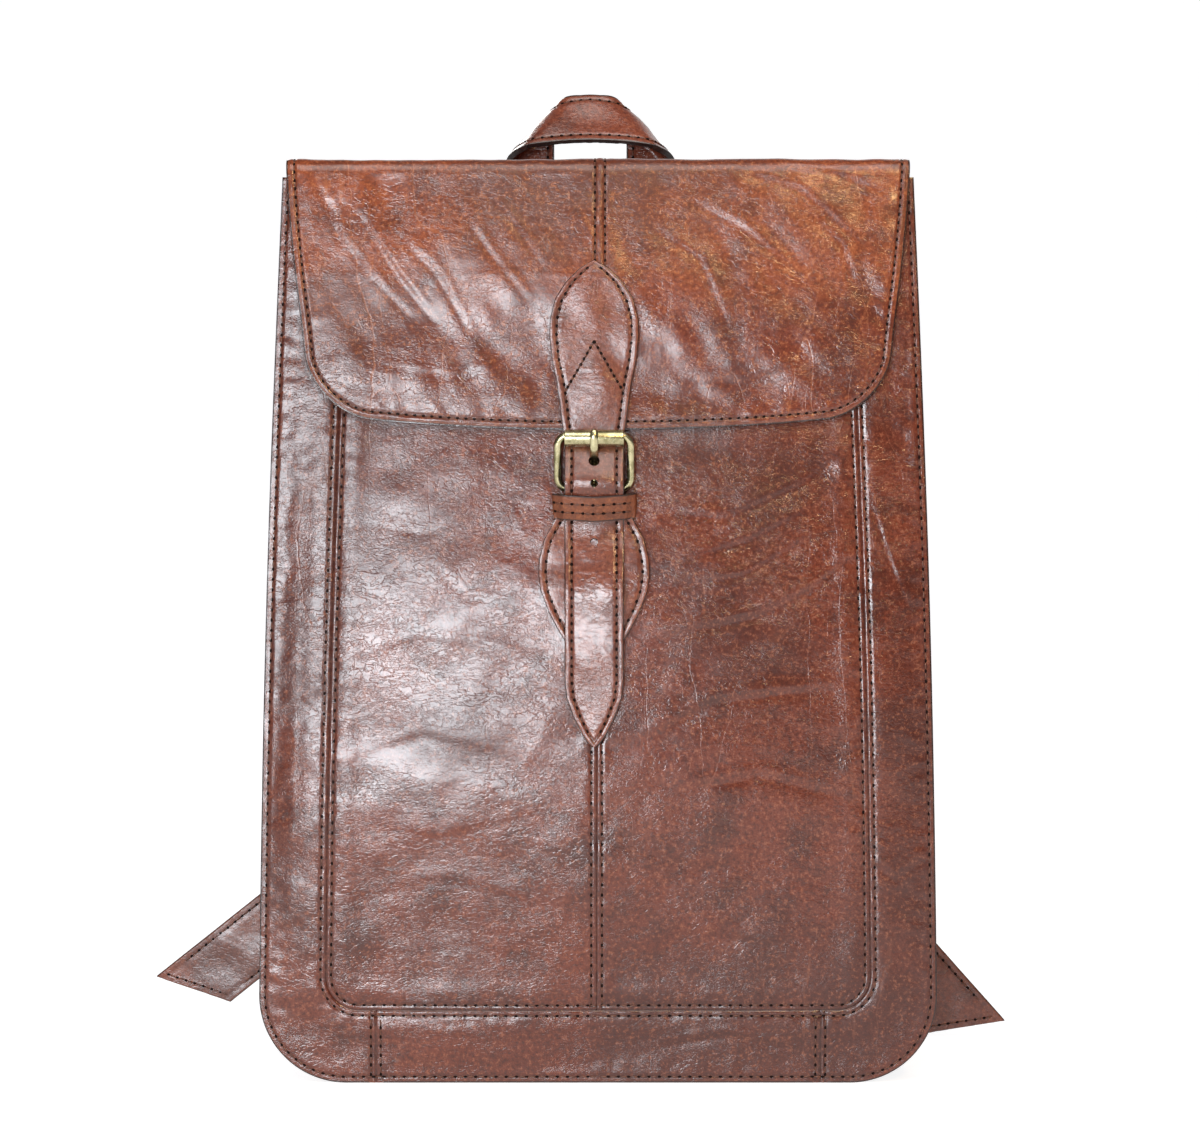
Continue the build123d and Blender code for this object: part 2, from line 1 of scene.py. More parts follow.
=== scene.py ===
# %% [markdown]
# # A leather backpack with a flap, a strap-and-buckle closure and two shoulder straps
#
# The file is a lesson in small cells. Each cell makes one piece of the bag on top of a fixed frame:
# the frame is the measured model, and every leather skin, thread and buckle here is fitted to it.
# The frame is in metres. +X is the bag's right as seen from the front, the front faces -Y and +Z is up.

# %% Load the frame
from math import asin, cos, pi, radians, sin

import bpy
import numpy as np
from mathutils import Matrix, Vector
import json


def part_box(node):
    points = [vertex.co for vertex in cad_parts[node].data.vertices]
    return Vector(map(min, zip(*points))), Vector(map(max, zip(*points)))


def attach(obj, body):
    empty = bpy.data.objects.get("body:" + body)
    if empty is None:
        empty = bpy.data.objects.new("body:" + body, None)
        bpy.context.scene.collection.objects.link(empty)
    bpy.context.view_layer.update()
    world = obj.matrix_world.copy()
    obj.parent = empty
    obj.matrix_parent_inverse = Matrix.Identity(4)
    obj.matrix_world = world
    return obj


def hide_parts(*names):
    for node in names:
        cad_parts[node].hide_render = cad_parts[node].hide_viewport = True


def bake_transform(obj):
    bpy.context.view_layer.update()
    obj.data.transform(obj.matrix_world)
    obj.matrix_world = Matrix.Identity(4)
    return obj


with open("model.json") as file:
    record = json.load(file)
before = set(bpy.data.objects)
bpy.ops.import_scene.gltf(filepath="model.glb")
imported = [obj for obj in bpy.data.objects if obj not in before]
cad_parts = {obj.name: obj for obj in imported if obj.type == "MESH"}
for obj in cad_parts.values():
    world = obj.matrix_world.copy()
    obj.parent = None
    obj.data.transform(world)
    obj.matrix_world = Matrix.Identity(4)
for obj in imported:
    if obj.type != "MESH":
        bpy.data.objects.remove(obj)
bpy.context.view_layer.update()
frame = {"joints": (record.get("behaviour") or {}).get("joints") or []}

# %% [markdown]
# ## Sizes
#
# Leather work is thought of in millimetres, so the shapes below are worked out in millimetres and
# turned into metres once, where the points are placed. The main places are read from the frame's
# boxes, so the skins stay with the model if it is packed again at another size.

# %% Places read from the frame
MM = 0.001


def box_mm(node):
    """The lowest and highest corner of a node of the frame, in millimetres."""
    low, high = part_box(node)
    return low / MM, high / MM


border_low, border_high = box_mm("front_border_left")
back_high = box_mm("back_panel")[1]
flap_low, flap_high = box_mm("flap_front_left")
strap_low, strap_high = box_mm("closure_strap")
FRONT_Y = border_low.y
BACK_Y = back_high.y
CORNER_LOSS = 1.0
BASE_HALF = CORNER_LOSS - border_low.x
PANEL_TOP = border_high.z
BACK_TOP = back_high.z
FLAP_TOP = flap_high.z
FLAP_FACE = flap_low.y
FLAP_EDGE = flap_low.z
FLAP_HALF = -flap_low.x
STRAP_X = (strap_low.x + strap_high.x) / 2
print("front", FRONT_Y, "back", BACK_Y, "half base", BASE_HALF, "panel top", PANEL_TOP)

# %% Sizes of the cut pieces
LEATHER = 2.0
THIN_LEATHER = 1.4
TAPER = 10.0
SIDE_BOW = 2.0
CORNER = 36.0
SIDE_BORDER = 27.5
BASE_BORDER = 30.0
INNER_CORNER = 14.0
BASE_SEAM_X = 91.5
FRONT_SEAM_X = -0.6
FLAP_SEAM_X = 0.8
FLANGE = 4.5

# %% Distances of the stitch rows from their edges and seams, and the stitches' pitches
EDGE_ROW = 2.5
SEAM_ROW = 2.2
BASE_SEAM_ROW = 2.0
FLAP_ROW = 3.3
FLAP_SEAM_ROW = 2.05
STRAP_ROW = 2.9
STITCH_PITCH = 4.2
FINE_PITCH = 3.5

# %% [markdown]
# ## The finish of the leather
#
# The hide is a waxed, glazed cowhide: dark brown wax over a paler, redder ground. Where it creases or
# rubs, the wax moves away and the ground shows as fine light veins, and the cut edges are inked nearly
# black. One image could be painted for all this, but a pattern worked out from the point's own place
# has the right scale everywhere, has no seams and goes with the piece when it moves.
# The effects that several finishes share are node groups: each puts out masks and heights only, and
# the shader stays in the material, where its own constants are set on its own sockets.

# %% Helpers for node groups
def new_group(name, inputs, outputs):
    """An empty shader node group with named inputs and value outputs, and its two end nodes' sockets."""
    group = bpy.data.node_groups.new(name, "ShaderNodeTree")
    for label, kind in inputs.items():
        group.interface.new_socket(label, in_out="INPUT", socket_type=kind)
    for label in outputs:
        group.interface.new_socket(label, in_out="OUTPUT", socket_type="NodeSocketFloat")
    return group, group.nodes.new("NodeGroupInput").outputs, group.nodes.new("NodeGroupOutput").inputs


def add_node(tree, kind, settings=None, **links):
    """One node, its settings given, and its inputs set or linked by name or number."""
    node = tree.nodes.new(kind)
    for key, value in (settings or {}).items():
        setattr(node, key, value)
    for key, value in links.items():
        socket = node.inputs[int(key[1:])] if key[0] == "i" and key[1:].isdigit() else node.inputs[key]
        if isinstance(value, bpy.types.NodeSocket):
            tree.links.new(value, socket)
        else:
            socket.default_value = value
    return node


def maths(tree, operation, a, b=0.5, clamp=False):
    """The result of one Math node."""
    settings = {"operation": operation, "use_clamp": clamp}
    return add_node(tree, "ShaderNodeMath", settings, i0=a, i1=b).outputs[0]


def times(tree, a, b):
    """The product of two values."""
    return maths(tree, "MULTIPLY", a, b)


def scaled_up(tree, value, factor, base):
    """A value times a factor, on top of a base value."""
    result = maths(tree, "MULTIPLY_ADD", value, factor)
    result.node.inputs[2].default_value = base
    return result


def band(tree, value, low, high):
    """A mask that goes smoothly from 0 at low to 1 at high."""
    limits = {"From Min": low, "From Max": high}
    node = add_node(tree, "ShaderNodeMapRange", {"interpolation_type": "SMOOTHSTEP"}, Value=value, **limits)
    return node.outputs["Result"]


def noise_of(tree, vector, scale, detail=3.0, roughness=0.5):
    """The value of a noise texture."""
    links = {"Vector": vector, "Scale": scale, "Detail": detail, "Roughness": roughness}
    return add_node(tree, "ShaderNodeTexNoise", None, **links).outputs["Fac"]


def vector_maths(tree, operation, **links):
    """One step of arithmetic on a vector."""
    return add_node(tree, "ShaderNodeVectorMath", {"operation": operation}, **links).outputs[0]


def warped(tree, vector, scale, amount):
    """A place shifted by noise, which takes the regularity out of a pattern."""
    cloud = add_node(tree, "ShaderNodeTexNoise", None, Vector=vector, Scale=scale, Detail=2.0)
    centred = vector_maths(tree, "SUBTRACT", i0=cloud.outputs["Color"], i1=(0.5, 0.5, 0.5))
    shift = vector_maths(tree, "SCALE", i0=centred, Scale=amount)
    return vector_maths(tree, "ADD", i0=vector, i1=shift)


def stretched(tree, vector, turns, scale, shift=(0, 0, 0)):
    """A place turned by degrees about X, Y and Z and stretched, so that a pattern on it runs one way."""
    turns = [radians(turn) for turn in turns]
    links = {"Vector": vector, "Location": shift, "Rotation": turns, "Scale": scale}
    return add_node(tree, "ShaderNodeMapping", None, **links).outputs[0]


def crossings(tree, place, noise, width, patches, share):
    """Thin lines where a noise crosses its middle, drawn only in patches of a slower noise."""
    scale, detail, roughness = noise
    slower, low, high = patches
    from_middle = maths(tree, "SUBTRACT", noise_of(tree, place, scale, detail, roughness), 0.5)
    gap = maths(tree, "ABSOLUTE", from_middle)
    patch = band(tree, noise_of(tree, place, scale * slower), low, high)
    return times(tree, band(tree, gap, width, 0.0), times(tree, patch, share))


def highest(tree, masks):
    """The highest of several masks at each point."""
    top = masks[0]
    for mask in masks[1:]:
        top = maths(tree, "MAXIMUM", top, mask)
    return top


# %% [markdown]
# ### Mottle, veins and grain
#
# Cloud is the slow change of wax from place to place, Mottle the hand-sized dark patches, Vein the net
# of thin light lines, Scuff the short rubbed strokes and Speck the fine grain of the colour. Grain is
# the height of the pores and the fine pebble of the hide, at about half a millimetre, Crease the
# height of the soft lines and Crinkle the small unevenness that breaks up the shine.

# %% Build the hide groups
# Each row: turn in degrees, scale of the noise, width of the line and strength.
VEINS = ((64, 30.0, 0.0055, 1.0), (-52, 38.0, 0.005, 0.9), (22, 62.0, 0.008, 0.7), (-80, 85.0, 0.010, 0.6))
WRINKLES = ((-20, 210.0, 0.05, 1.0), (48, 330.0, 0.05, 0.9), (12, 620.0, 0.08, 0.7))


def build_mottle():
    """The masks of the waxed finish: cloud, mottle, vein, scuff and speck."""
    labels = ("Cloud", "Mottle", "Vein", "Scuff", "Speck")
    group, entry, end = new_group("hide_mottle", {"Vector": "NodeSocketVector"}, labels)
    start = entry["Vector"]
    mottle = noise_of(group, warped(group, start, 30.0, 0.02), 42.0, 8.0, 0.74)
    place = warped(group, start, 55.0, 0.006)
    veins = []
    for turn, scale, thin, share in VEINS:
        leaned = stretched(group, place, (turn / 3, turn, 0.0), (1.0, 1.0, 0.22), (turn * 0.01, 0.0, 0.3))
        veins.append(crossings(group, leaned, (scale, 1.0, 0.5), thin, (0.6, 0.46, 0.62), share))
    strokes = noise_of(group, stretched(group, start, (0, 38, 0), (1.0, 1.0, 0.12)), 260.0, 3.0, 0.6)
    rubbed = band(group, noise_of(group, start, 16.0), 0.5, 0.7)
    scuff = times(group, band(group, strokes, 0.60, 0.72), rubbed)
    cloud, speck = noise_of(group, start, 13.0, 4.0, 0.55), noise_of(group, start, 620.0, 5.0, 0.75)
    for label, value in zip(labels, (cloud, mottle, highest(group, veins), scuff, speck)):
        group.links.new(value, end[label])
    return group


def build_grain():
    """The heights of the pores and pebble, of the soft creases and of the fine crinkle."""
    labels = ("Grain", "Crease", "Crinkle")
    group, entry, end = new_group("hide_grain", {"Vector": "NodeSocketVector"}, labels)
    start = entry["Vector"]
    place = warped(group, start, 400.0, 0.0012)
    pebble = add_node(group, "ShaderNodeTexVoronoi", {"feature": "SMOOTH_F1"}, Vector=place, Scale=1150.0)
    pore = noise_of(group, start, 2100.0, 2.0)
    grain = maths(group, "ADD", times(group, pebble.outputs["Distance"], 0.8), times(group, pore, 0.45))
    creases = []
    for turn, scale, wide, share in WRINKLES:
        turned = stretched(group, warped(group, start, 90.0, 0.006), (0, turn, 0), (0.45, 1.0, 1.0))
        creases.append(crossings(group, turned, (scale, 3.0, 0.6), wide, (0.12, 0.36, 0.60), share))
    pulled = stretched(group, warped(group, start, 70.0, 0.008), (0, -25, 0), (0.6, 1.0, 1.0))
    slack = scaled_up(group, band(group, noise_of(group, start, 34.0), 0.38, 0.62), 0.7, 0.3)
    crinkle = times(group, noise_of(group, pulled, 430.0, 4.0, 0.68), slack)
    for label, value in zip(labels, (grain, highest(group, creases), crinkle)):
        group.links.new(value, end[label])
    return group


def build_edge_wear():
    """How worn a place near a cut edge is, from the rim value painted on the piece."""
    inputs = {"Vector": "NodeSocketVector", "Rim": "NodeSocketFloat"}
    group, entry, end = new_group("edge_wear", inputs, ["Wear"])
    patch = band(group, noise_of(group, entry["Vector"], 140.0, 4.0, 0.7), 0.35, 0.6)
    group.links.new(maths(group, "MULTIPLY", entry["Rim"], patch, clamp=True), end["Wear"])
    return group


groups = {"mottle": build_mottle(), "grain": build_grain(), "wear": build_edge_wear()}
print("groups", sorted(groups))

# %% Helpers for materials
materials = {}


def colour(red, green, blue):
    """A colour given as it looks on a screen, from 0 to 255, as the linear value a shader takes."""
    def linear(value):
        share = value / 255
        return share / 12.92 if share <= 0.04045 else ((share + 0.055) / 1.055) ** 2.4
    return (linear(red), linear(green), linear(blue), 1.0)


def new_material(name, **constants):
    """A material with an empty tree, its shader with its constants, and the object's coordinates."""
    material = bpy.data.materials.new(name)
    material.use_nodes = True
    tree = material.node_tree
    tree.nodes.clear()
    shader = tree.nodes.new("ShaderNodeBsdfPrincipled")
    output = tree.nodes.new("ShaderNodeOutputMaterial")
    tree.links.new(shader.outputs[0], output.inputs["Surface"])
    for label, value in constants.items():
        shader.inputs[label.replace("_", " ")].default_value = value
    materials[name] = material
    return tree, shader, tree.nodes.new("ShaderNodeTexCoord").outputs["Object"]


def blend_colour(tree, share, under, over):
    """One colour laid over another by a mask."""
    return add_node(tree, "ShaderNodeMix", {"data_type": "RGBA"}, Factor=share, i6=under, i7=over).outputs[2]


def finish_shader(tree, shader, base, height, strength, distance):
    """Give a shader its colour and its relief."""
    tree.links.new(base, shader.inputs["Base Color"])
    bump = add_node(tree, "ShaderNodeBump", None, Height=height, Strength=strength, Distance=distance)
    tree.links.new(bump.outputs[0], shader.inputs["Normal"])


# %% Leather from the groups
# Groove colour: wax together with painted shade, darkening the stitched grooves.
GROOVE_WAX_AND_SHADE = colour(44, 22, 17)
# Edge colour: ink together with a painted shadow line, darkening the outermost band of a face.
EDGE_INK_AND_SHADOW = colour(36, 19, 15)


def hide_colour(tree, mottle, ground, dark, light, veins):
    """The ground with its dark patches and specks, and its light specks, veins and scuffs."""
    patches = times(tree, band(tree, mottle["Mottle"], 0.42, 0.66), 0.75)
    slow = times(tree, band(tree, mottle["Cloud"], 0.40, 0.64), 0.7)
    dark_specks = times(tree, band(tree, mottle["Speck"], 0.50, 0.62), 0.62)
    light_specks = times(tree, band(tree, mottle["Speck"], 0.47, 0.36), 0.42)
    base = blend_colour(tree, maths(tree, "MAXIMUM", patches, slow), ground, dark)
    base = blend_colour(tree, dark_specks, base, dark)
    base = blend_colour(tree, light_specks, base, light)
    base = blend_colour(tree, times(tree, mottle["Vein"], veins), base, light)
    return blend_colour(tree, times(tree, mottle["Scuff"], 0.3), base, light)


def edge_colour(tree, place, base, worn):
    """Wear near the cut edges, wax and painted shade in the stitched grooves, and ink with a painted shadow
    line on the rim itself.
    """
    rim = add_node(tree, "ShaderNodeAttribute", {"attribute_name": "rim"}).outputs["Fac"]
    wear = add_node(tree, "ShaderNodeGroup", {"node_tree": groups["wear"]}, Vector=place, Rim=rim)
    sunk = maths(tree, "MULTIPLY", rim, -1.0, clamp=True)
    base = blend_colour(tree, times(tree, wear.outputs["Wear"], 0.6), base, worn)
    # Painted shade: the stitched grooves are darkened, partly wax and partly the shade that falls in a
    # groove.
    base = blend_colour(tree, times(tree, sunk, 0.5), base, GROOVE_WAX_AND_SHADE)
    # Painted shadow: the outermost band of the face is darkened, partly ink and partly the shadow along a
    # thick edge.
    return blend_colour(tree, times(tree, band(tree, rim, 0.72, 0.92), 0.9), base, EDGE_INK_AND_SHADOW)


def make_leather(name, ground, dark, light, worn, gloss=0.20, shine=0.60, veins=0.12, top_light=None):
    """Waxed hide: mottled colour, hairline creases, a worn rim, painted warm light on its top if given, and
    grain and creases as height.
    """
    tree, shader, place = new_material(name, Specular_IOR_Level=shine)
    mottle = add_node(tree, "ShaderNodeGroup", {"node_tree": groups["mottle"]}, Vector=place).outputs
    relief = add_node(tree, "ShaderNodeGroup", {"node_tree": groups["grain"]}, Vector=place).outputs
    rough = scaled_up(tree, mottle["Cloud"], 0.30, gloss - 0.15)
    # Painted light: above a height the ground turns lighter and oranger, standing for warm light falling on
    # the top.
    if top_light:
        top_light_from, top_light_colour = top_light
        height = add_node(tree, "ShaderNodeSeparateXYZ", None, i0=place).outputs["Z"]
        top_light_edge = maths(tree, "ADD", height, times(tree, mottle["Cloud"], 0.05))
        top_light_mask = band(tree, top_light_edge, top_light_from + 0.015, top_light_from + 0.045)
        ground = blend_colour(tree, top_light_mask, ground, top_light_colour)
        rough = maths(tree, "ADD", rough, times(tree, top_light_mask, 0.05))
    tree.links.new(rough, shader.inputs["Roughness"])
    base = edge_colour(tree, place, hide_colour(tree, mottle, ground, dark, light, veins), worn)
    lines = maths(tree, "ADD", times(tree, relief["Crease"], 0.07), times(tree, mottle["Vein"], 0.03))
    hide = maths(tree, "ADD", times(tree, relief["Grain"], 0.02), times(tree, relief["Crinkle"], 0.08))
    finish_shader(tree, shader, base, maths(tree, "SUBTRACT", hide, lines), 0.7, 0.001)
    print("finish", name)


# %% The leathers of this bag
BODY = (colour(112, 52, 34), colour(62, 27, 20), colour(176, 110, 80), colour(120, 66, 46))
FLAP = (colour(118, 56, 37), colour(72, 33, 24), colour(196, 122, 78), colour(136, 76, 48))
STRAP = (colour(126, 64, 44), colour(74, 35, 26), colour(172, 110, 82), colour(136, 80, 58))
BAND = (colour(140, 78, 48), colour(92, 48, 31), colour(176, 112, 72), colour(110, 64, 42))
make_leather("body_leather", *BODY)
# The flap's upper part gets painted warm light from above: a lighter, oranger ground.
make_leather("flap_leather", *FLAP, veins=0.25, top_light=(0.315, colour(136, 66, 36)))
make_leather("strap_leather", *STRAP, gloss=0.27, shine=0.70, veins=0.15)
make_leather("band_leather", *BAND, gloss=0.40, shine=0.5, veins=0.1)


# %% [markdown]
# ### Cut edges, flesh side, thread, cloth and brass
#
# A cut edge is inked and burnished: nearly black, with fibres that break the shine. The flesh side is
# suede, matt and paler. Thread is waxed dark cord with a twist. The lining is a plain cotton weave.
# The buckles are brass with an antique, greenish bloom in patches and bright rubbed places.

# %% The other finishes
def make_fibrous(name, fibres, low, high, colours, bump, clouds=None, **constants):
    """A finish of fine fibres: their noise is its relief, and it or a slower one blends two colours."""
    tree, shader, place = new_material(name, **constants)
    relief = noise_of(tree, place, *fibres)
    shade = noise_of(tree, place, *clouds) if clouds else relief
    base = blend_colour(tree, band(tree, shade, low, high), colour(*colours[0]), colour(*colours[1]))
    finish_shader(tree, shader, base, relief, *bump)


def make_cloth():
    """A plain cotton weave for the lining."""
    tree, shader, place = new_material("lining_cloth", Roughness=0.9, Sheen_Weight=0.2)
    warp, weft = (add_node(tree, "ShaderNodeTexWave", {"bands_direction": way}, Vector=place, Scale=380.0)
                  for way in "XZ")
    weave = times(tree, warp.outputs["Fac"], weft.outputs["Fac"])
    slub = band(tree, noise_of(tree, place, 60.0, 4.0), 0.3, 0.7)
    base = blend_colour(tree, slub, colour(120, 96, 72), colour(142, 116, 88))
    base = blend_colour(tree, times(tree, weave, 0.35), base, colour(92, 72, 54))
    finish_shader(tree, shader, base, weave, 0.5, 0.0003)


def make_brass():
    """Antique brass: pale greenish gold with a dull bloom and rubbed bright places."""
    tree, shader, place = new_material("antique_brass", Metallic=1.0)
    bloom = noise_of(tree, place, 170.0, 5.0, 0.65)
    scratch = noise_of(tree, warped(tree, place, 300.0, 0.003), 900.0)
    rubbed = times(tree, band(tree, scratch, 0.62, 0.7), 0.4)
    base = blend_colour(tree, band(tree, bloom, 0.38, 0.68), colour(196, 188, 150), colour(134, 128, 92))
    base = blend_colour(tree, rubbed, base, colour(236, 232, 208))
    tree.links.new(scaled_up(tree, bloom, 0.22, 0.16), shader.inputs["Roughness"])
    finish_shader(tree, shader, base, scratch, 0.25, 0.0002)


make_fibrous("cut_edge", (900.0, 4.0, 0.7), 0.35, 0.75, ((26, 17, 18), (58, 34, 28)), (0.6, 0.0003),
             Roughness=0.55)
make_fibrous("flesh_side", (1300.0, 5.0, 0.75), 0.3, 0.7, ((112, 76, 58), (140, 98, 74)), (0.8, 0.0004),
             clouds=(45.0, 4.0), Roughness=0.95, Sheen_Weight=0.25)
make_fibrous("thread", (1500.0, 2.0), 0.4, 0.7, ((82, 46, 32), (122, 74, 52)), (0.5, 0.0002),
             Roughness=0.45)
# Painted shade: a flat dark dot stands for the shaded inside of each needle hole.
new_material("needle_hole_shade", Base_Color=colour(24, 13, 11), Roughness=0.8, Specular_IOR_Level=0.1)
make_cloth()
make_brass()
print("finishes", sorted(materials))

# %% [markdown]
# ## Sheets of leather
#
# Every panel of a bag is a flat hide cut to a shape and sewn, so every panel here starts as Blender's
# grid primitive. Its points run from 0 to 1 both ways, and a placing rule moves all of them to their
# spots on the panel: along the outline at the edges, and over the bag's soft surface inside. That keeps
# the rows of faces running with the seams, which a cut from one big sheet would not.
# Solidify then gives the hide its thickness and a rim, and Bevel takes the sharpness off the cut edge.
# The rule works on all the points at once, as rows of numbers, because a panel has tens of thousands.

# %% Helpers for sheets
def clear_selection():
    """Deselect everything, because the frame's nodes come in selected."""
    if bpy.context.object and bpy.context.object.mode == "EDIT":
        bpy.ops.object.mode_set(mode="OBJECT")
    bpy.ops.object.select_all(action="DESELECT")


def make_active(piece):
    """Select one piece alone and make it the active one."""
    clear_selection()
    piece.select_set(True)
    bpy.context.view_layer.objects.active = piece


def apply_modifier(piece, kind, **settings):
    """Add one modifier with its settings and apply it."""
    make_active(piece)
    modifier = piece.modifiers.new(kind.title(), kind)
    for key, value in settings.items():
        setattr(modifier, key, value)
    bpy.ops.object.modifier_apply(modifier=modifier.name)


def edit_all(piece, *operators):
    """Run edit-mode operators on the whole of a piece."""
    make_active(piece)
    bpy.ops.object.mode_set(mode="EDIT")
    bpy.ops.mesh.select_all(action="SELECT")
    for operator, settings in operators:
        operator(**settings)
    bpy.ops.object.mode_set(mode="OBJECT")


def read_points(piece):
    """All the points of a piece as rows of three numbers, in metres."""
    points = np.empty(len(piece.data.vertices) * 3)
    piece.data.vertices.foreach_get("co", points)
    return points.reshape(-1, 3)


def look_outward(piece, outward, faces=None):
    """Turn a sheet over if its faces, or the few given ones, look inward."""
    facing = sum((face.normal * face.area for face in faces or piece.data.polygons), Vector())
    if facing.dot(Vector(outward)) < 0:
        edit_all(piece, (bpy.ops.mesh.flip_normals, {}))


def grid_piece(name, across, along, place, outward=None):
    """A grid primitive whose points are placed by a rule, its faces turned to look outward."""
    clear_selection()
    bpy.ops.mesh.primitive_grid_add(x_subdivisions=across, y_subdivisions=along, size=1)
    piece = bpy.context.object
    piece.name = piece.data.name = name
    flat = read_points(piece)
    x, y, z, rim = place(flat[:, 0] + 0.5, flat[:, 1] + 0.5)
    points = np.stack(np.broadcast_arrays(x, y, z), axis=1) * MM
    piece.data.vertices.foreach_set("co", points.ravel())
    rims = np.broadcast_to(np.clip(rim, -1, 1), len(flat)).astype(np.float32)
    piece.data.attributes.new("rim", "FLOAT", "POINT").data.foreach_set("value", rims)
    piece.data.update()
    if outward is not None:
        look_outward(piece, outward)
    return piece


def finish_sheet(piece, slots, thickness=LEATHER, round_off=0.45, smooth=50):
    """Give a sheet its thickness behind the grain face, a rounded rim and its finishes."""
    for slot_name in slots:
        piece.data.materials.append(materials[slot_name])
    apply_modifier(piece, "SOLIDIFY", thickness=thickness * MM, offset=-1,
                   material_offset=len(slots) - 1, material_offset_rim=1)
    apply_modifier(piece, "BEVEL", width=round_off * MM, segments=2, limit_method="ANGLE",
                   angle_limit=radians(65))
    make_active(piece)
    bpy.ops.object.shade_smooth_by_angle(angle=radians(smooth))
    print(piece.name, len(piece.data.vertices), "points")
    return piece


def mix(a, b, share):
    """The value that lies a share of the way from a to b."""
    return a + (b - a) * share


def ease(value):
    """A smooth step from 0 to 1, held at both ends."""
    share = np.clip(value, 0, 1)
    return share * share * (3 - 2 * share)


def hump(value, width):
    """A smooth hump of height 1 about 0."""
    return np.exp(-((value / width) ** 2))


# %% Helpers for paths, which are rows of points
OUT_FRONT, OUT_BACK = (0, -1, 0), (0, 1, 0)


def step_lengths(path):
    """The lengths of a path's steps from point to point."""
    return np.linalg.norm(np.diff(path, axis=0), axis=1)


def run_of(path):
    """How far along a path each of its points lies."""
    return np.concatenate([[0], np.cumsum(step_lengths(path))])


def read_along(places, run, rows):
    """What the rows that go with a path's points come to at other places along it."""
    return np.stack([np.interp(places, run, column) for column in rows.T], axis=-1)


def unit_rows(rows):
    """Directions, each made a unit long."""
    return rows / np.linalg.norm(rows, axis=1)[:, None]


def square_to(along, rows):
    """The part of each direction that is square to another direction, made a unit long."""
    return unit_rows(rows - along * np.sum(rows * along, axis=1)[:, None])


# %% [markdown]
# ## Soft leather surfaces
#
# A hide is never flat. It has slow swells where the bag has been filled, creases where it has been
# folded, puckers beside each seam and a groove along each row of stitches. Cloth simulation would give
# the swells but not the creases in their places, so the surface is sculpted in numbers instead: waves
# of many directions for the swells, folds drawn as short lines, and grooves from the distance to a seam.

# %% Helpers for soft surfaces
def swell(x, z, size, seed, heading=None, spread=0.35):
    """Irregular waves of about one size: many crossing ripples, or ripples along one heading."""
    generator = np.random.default_rng(seed)
    total = np.zeros_like(x + z)
    for _ in range(16):
        turn = generator.uniform(0, 2 * pi) if heading is None else generator.normal(heading, spread)
        length = size * generator.uniform(0.65, 1.6)
        shift = generator.uniform(0, 2 * pi)
        total += np.sin((x * np.cos(turn) + z * np.sin(turn)) * 2 * pi / length + shift)
    return total / 2.83


def crumple(x, z, size, seed, heading=None):
    """Sharp-topped folds: the places where irregular waves cross zero, softened."""
    bent_x = x + swell(x, z, size * 2.1, seed + 1) * size * 0.22
    bent_z = z + swell(x, z, size * 2.3, seed + 2) * size * 0.22
    return 1 - np.minimum(1, np.abs(swell(bent_x, bent_z, size, seed, heading)) * 2.2)


def folds(x, z, lines):
    """Creases drawn as lines of points: a valley with a lip beside it, fading out at the ends."""
    height = np.zeros_like(x + z)
    for points, width, depth in lines:
        nearest = np.full_like(height, 1e9)
        signed = np.zeros_like(height)
        place = np.zeros_like(height)
        count = len(points) - 1
        for i, ((ax, az), (bx, bz)) in enumerate(zip(points, points[1:])):
            dx, dz = bx - ax, bz - az
            length = (dx * dx + dz * dz) ** 0.5
            share = np.clip(((x - ax) * dx + (z - az) * dz) / length**2, 0, 1)
            off_x, off_z = x - ax - share * dx, z - az - share * dz
            gap = np.hypot(off_x, off_z)
            closer = gap < nearest
            nearest = np.where(closer, gap, nearest)
            signed = np.where(closer, np.sign(off_z * dx - off_x * dz) * gap, signed)
            place = np.where(closer, (i + share) / count, place)
        fade = np.sin(np.clip(place, 0, 1) * pi) ** 0.7
        lip = hump(signed - width * 1.1, width * 1.2) * 0.8
        height += depth * fade * (lip - hump(signed, width))
    return height


GROOVES_WITHIN = 6.5


def crowd(share, width, lines=0.13):
    """Spread a grid's lines so that they lie closer together near both ends, where the grooves are."""
    near = GROOVES_WITHIN / width
    return np.interp(share, [0, lines, 1 - lines, 1], [0, near, 1 - near, 1])


# %% [markdown]
# ## The front of the bag
#
# The front is a flat hide with round lower corners, a little wider at the base and bowed at the sides.
# It is pieced: two centre panels meet in a double-stitched seam, and a border runs round three sides of
# them with its own seams near the corners. All five pieces share one surface, so their edges meet.

# %% The bag's outline
def half_width(z):
    """Half the bag's width at a height: it narrows to the top and bows out between."""
    share = np.clip(z / PANEL_TOP, 0, 1.02)
    return BASE_HALF - TAPER * share + SIDE_BOW * np.sin(pi * np.clip(share, 0, 1))


def ring_point(phase, side_inset, base_inset, radius, end_x, top):
    """A point on the right half of an inset outline: down the side, round the corner, along the base."""
    corner_z = base_inset + radius
    down = np.clip(phase, 0, 1)
    turn = np.clip(phase - 1, 0, 1) * pi / 2
    inward = np.clip(phase - 2, 0, 1)
    centre_x = half_width(corner_z) - side_inset - radius
    side_z = mix(top, corner_z, down)
    x = np.where(phase <= 1, half_width(side_z) - side_inset, centre_x + radius * np.cos(turn))
    z = np.where(phase <= 1, side_z, corner_z - radius * np.sin(turn))
    x = np.where(phase > 2, mix(centre_x, end_x, inward), x)
    return x, z


def ring_gap(x, z, side_inset, base_inset, radius):
    """How far inside an inset outline a point is, in millimetres."""
    from_side = half_width(z) - side_inset - np.abs(x)
    from_base = z - base_inset
    corner = radius - np.hypot(np.maximum(radius - from_side, 0), np.maximum(radius - from_base, 0))
    return np.where((from_side < radius) & (from_base < radius), corner, np.minimum(from_side, from_base))


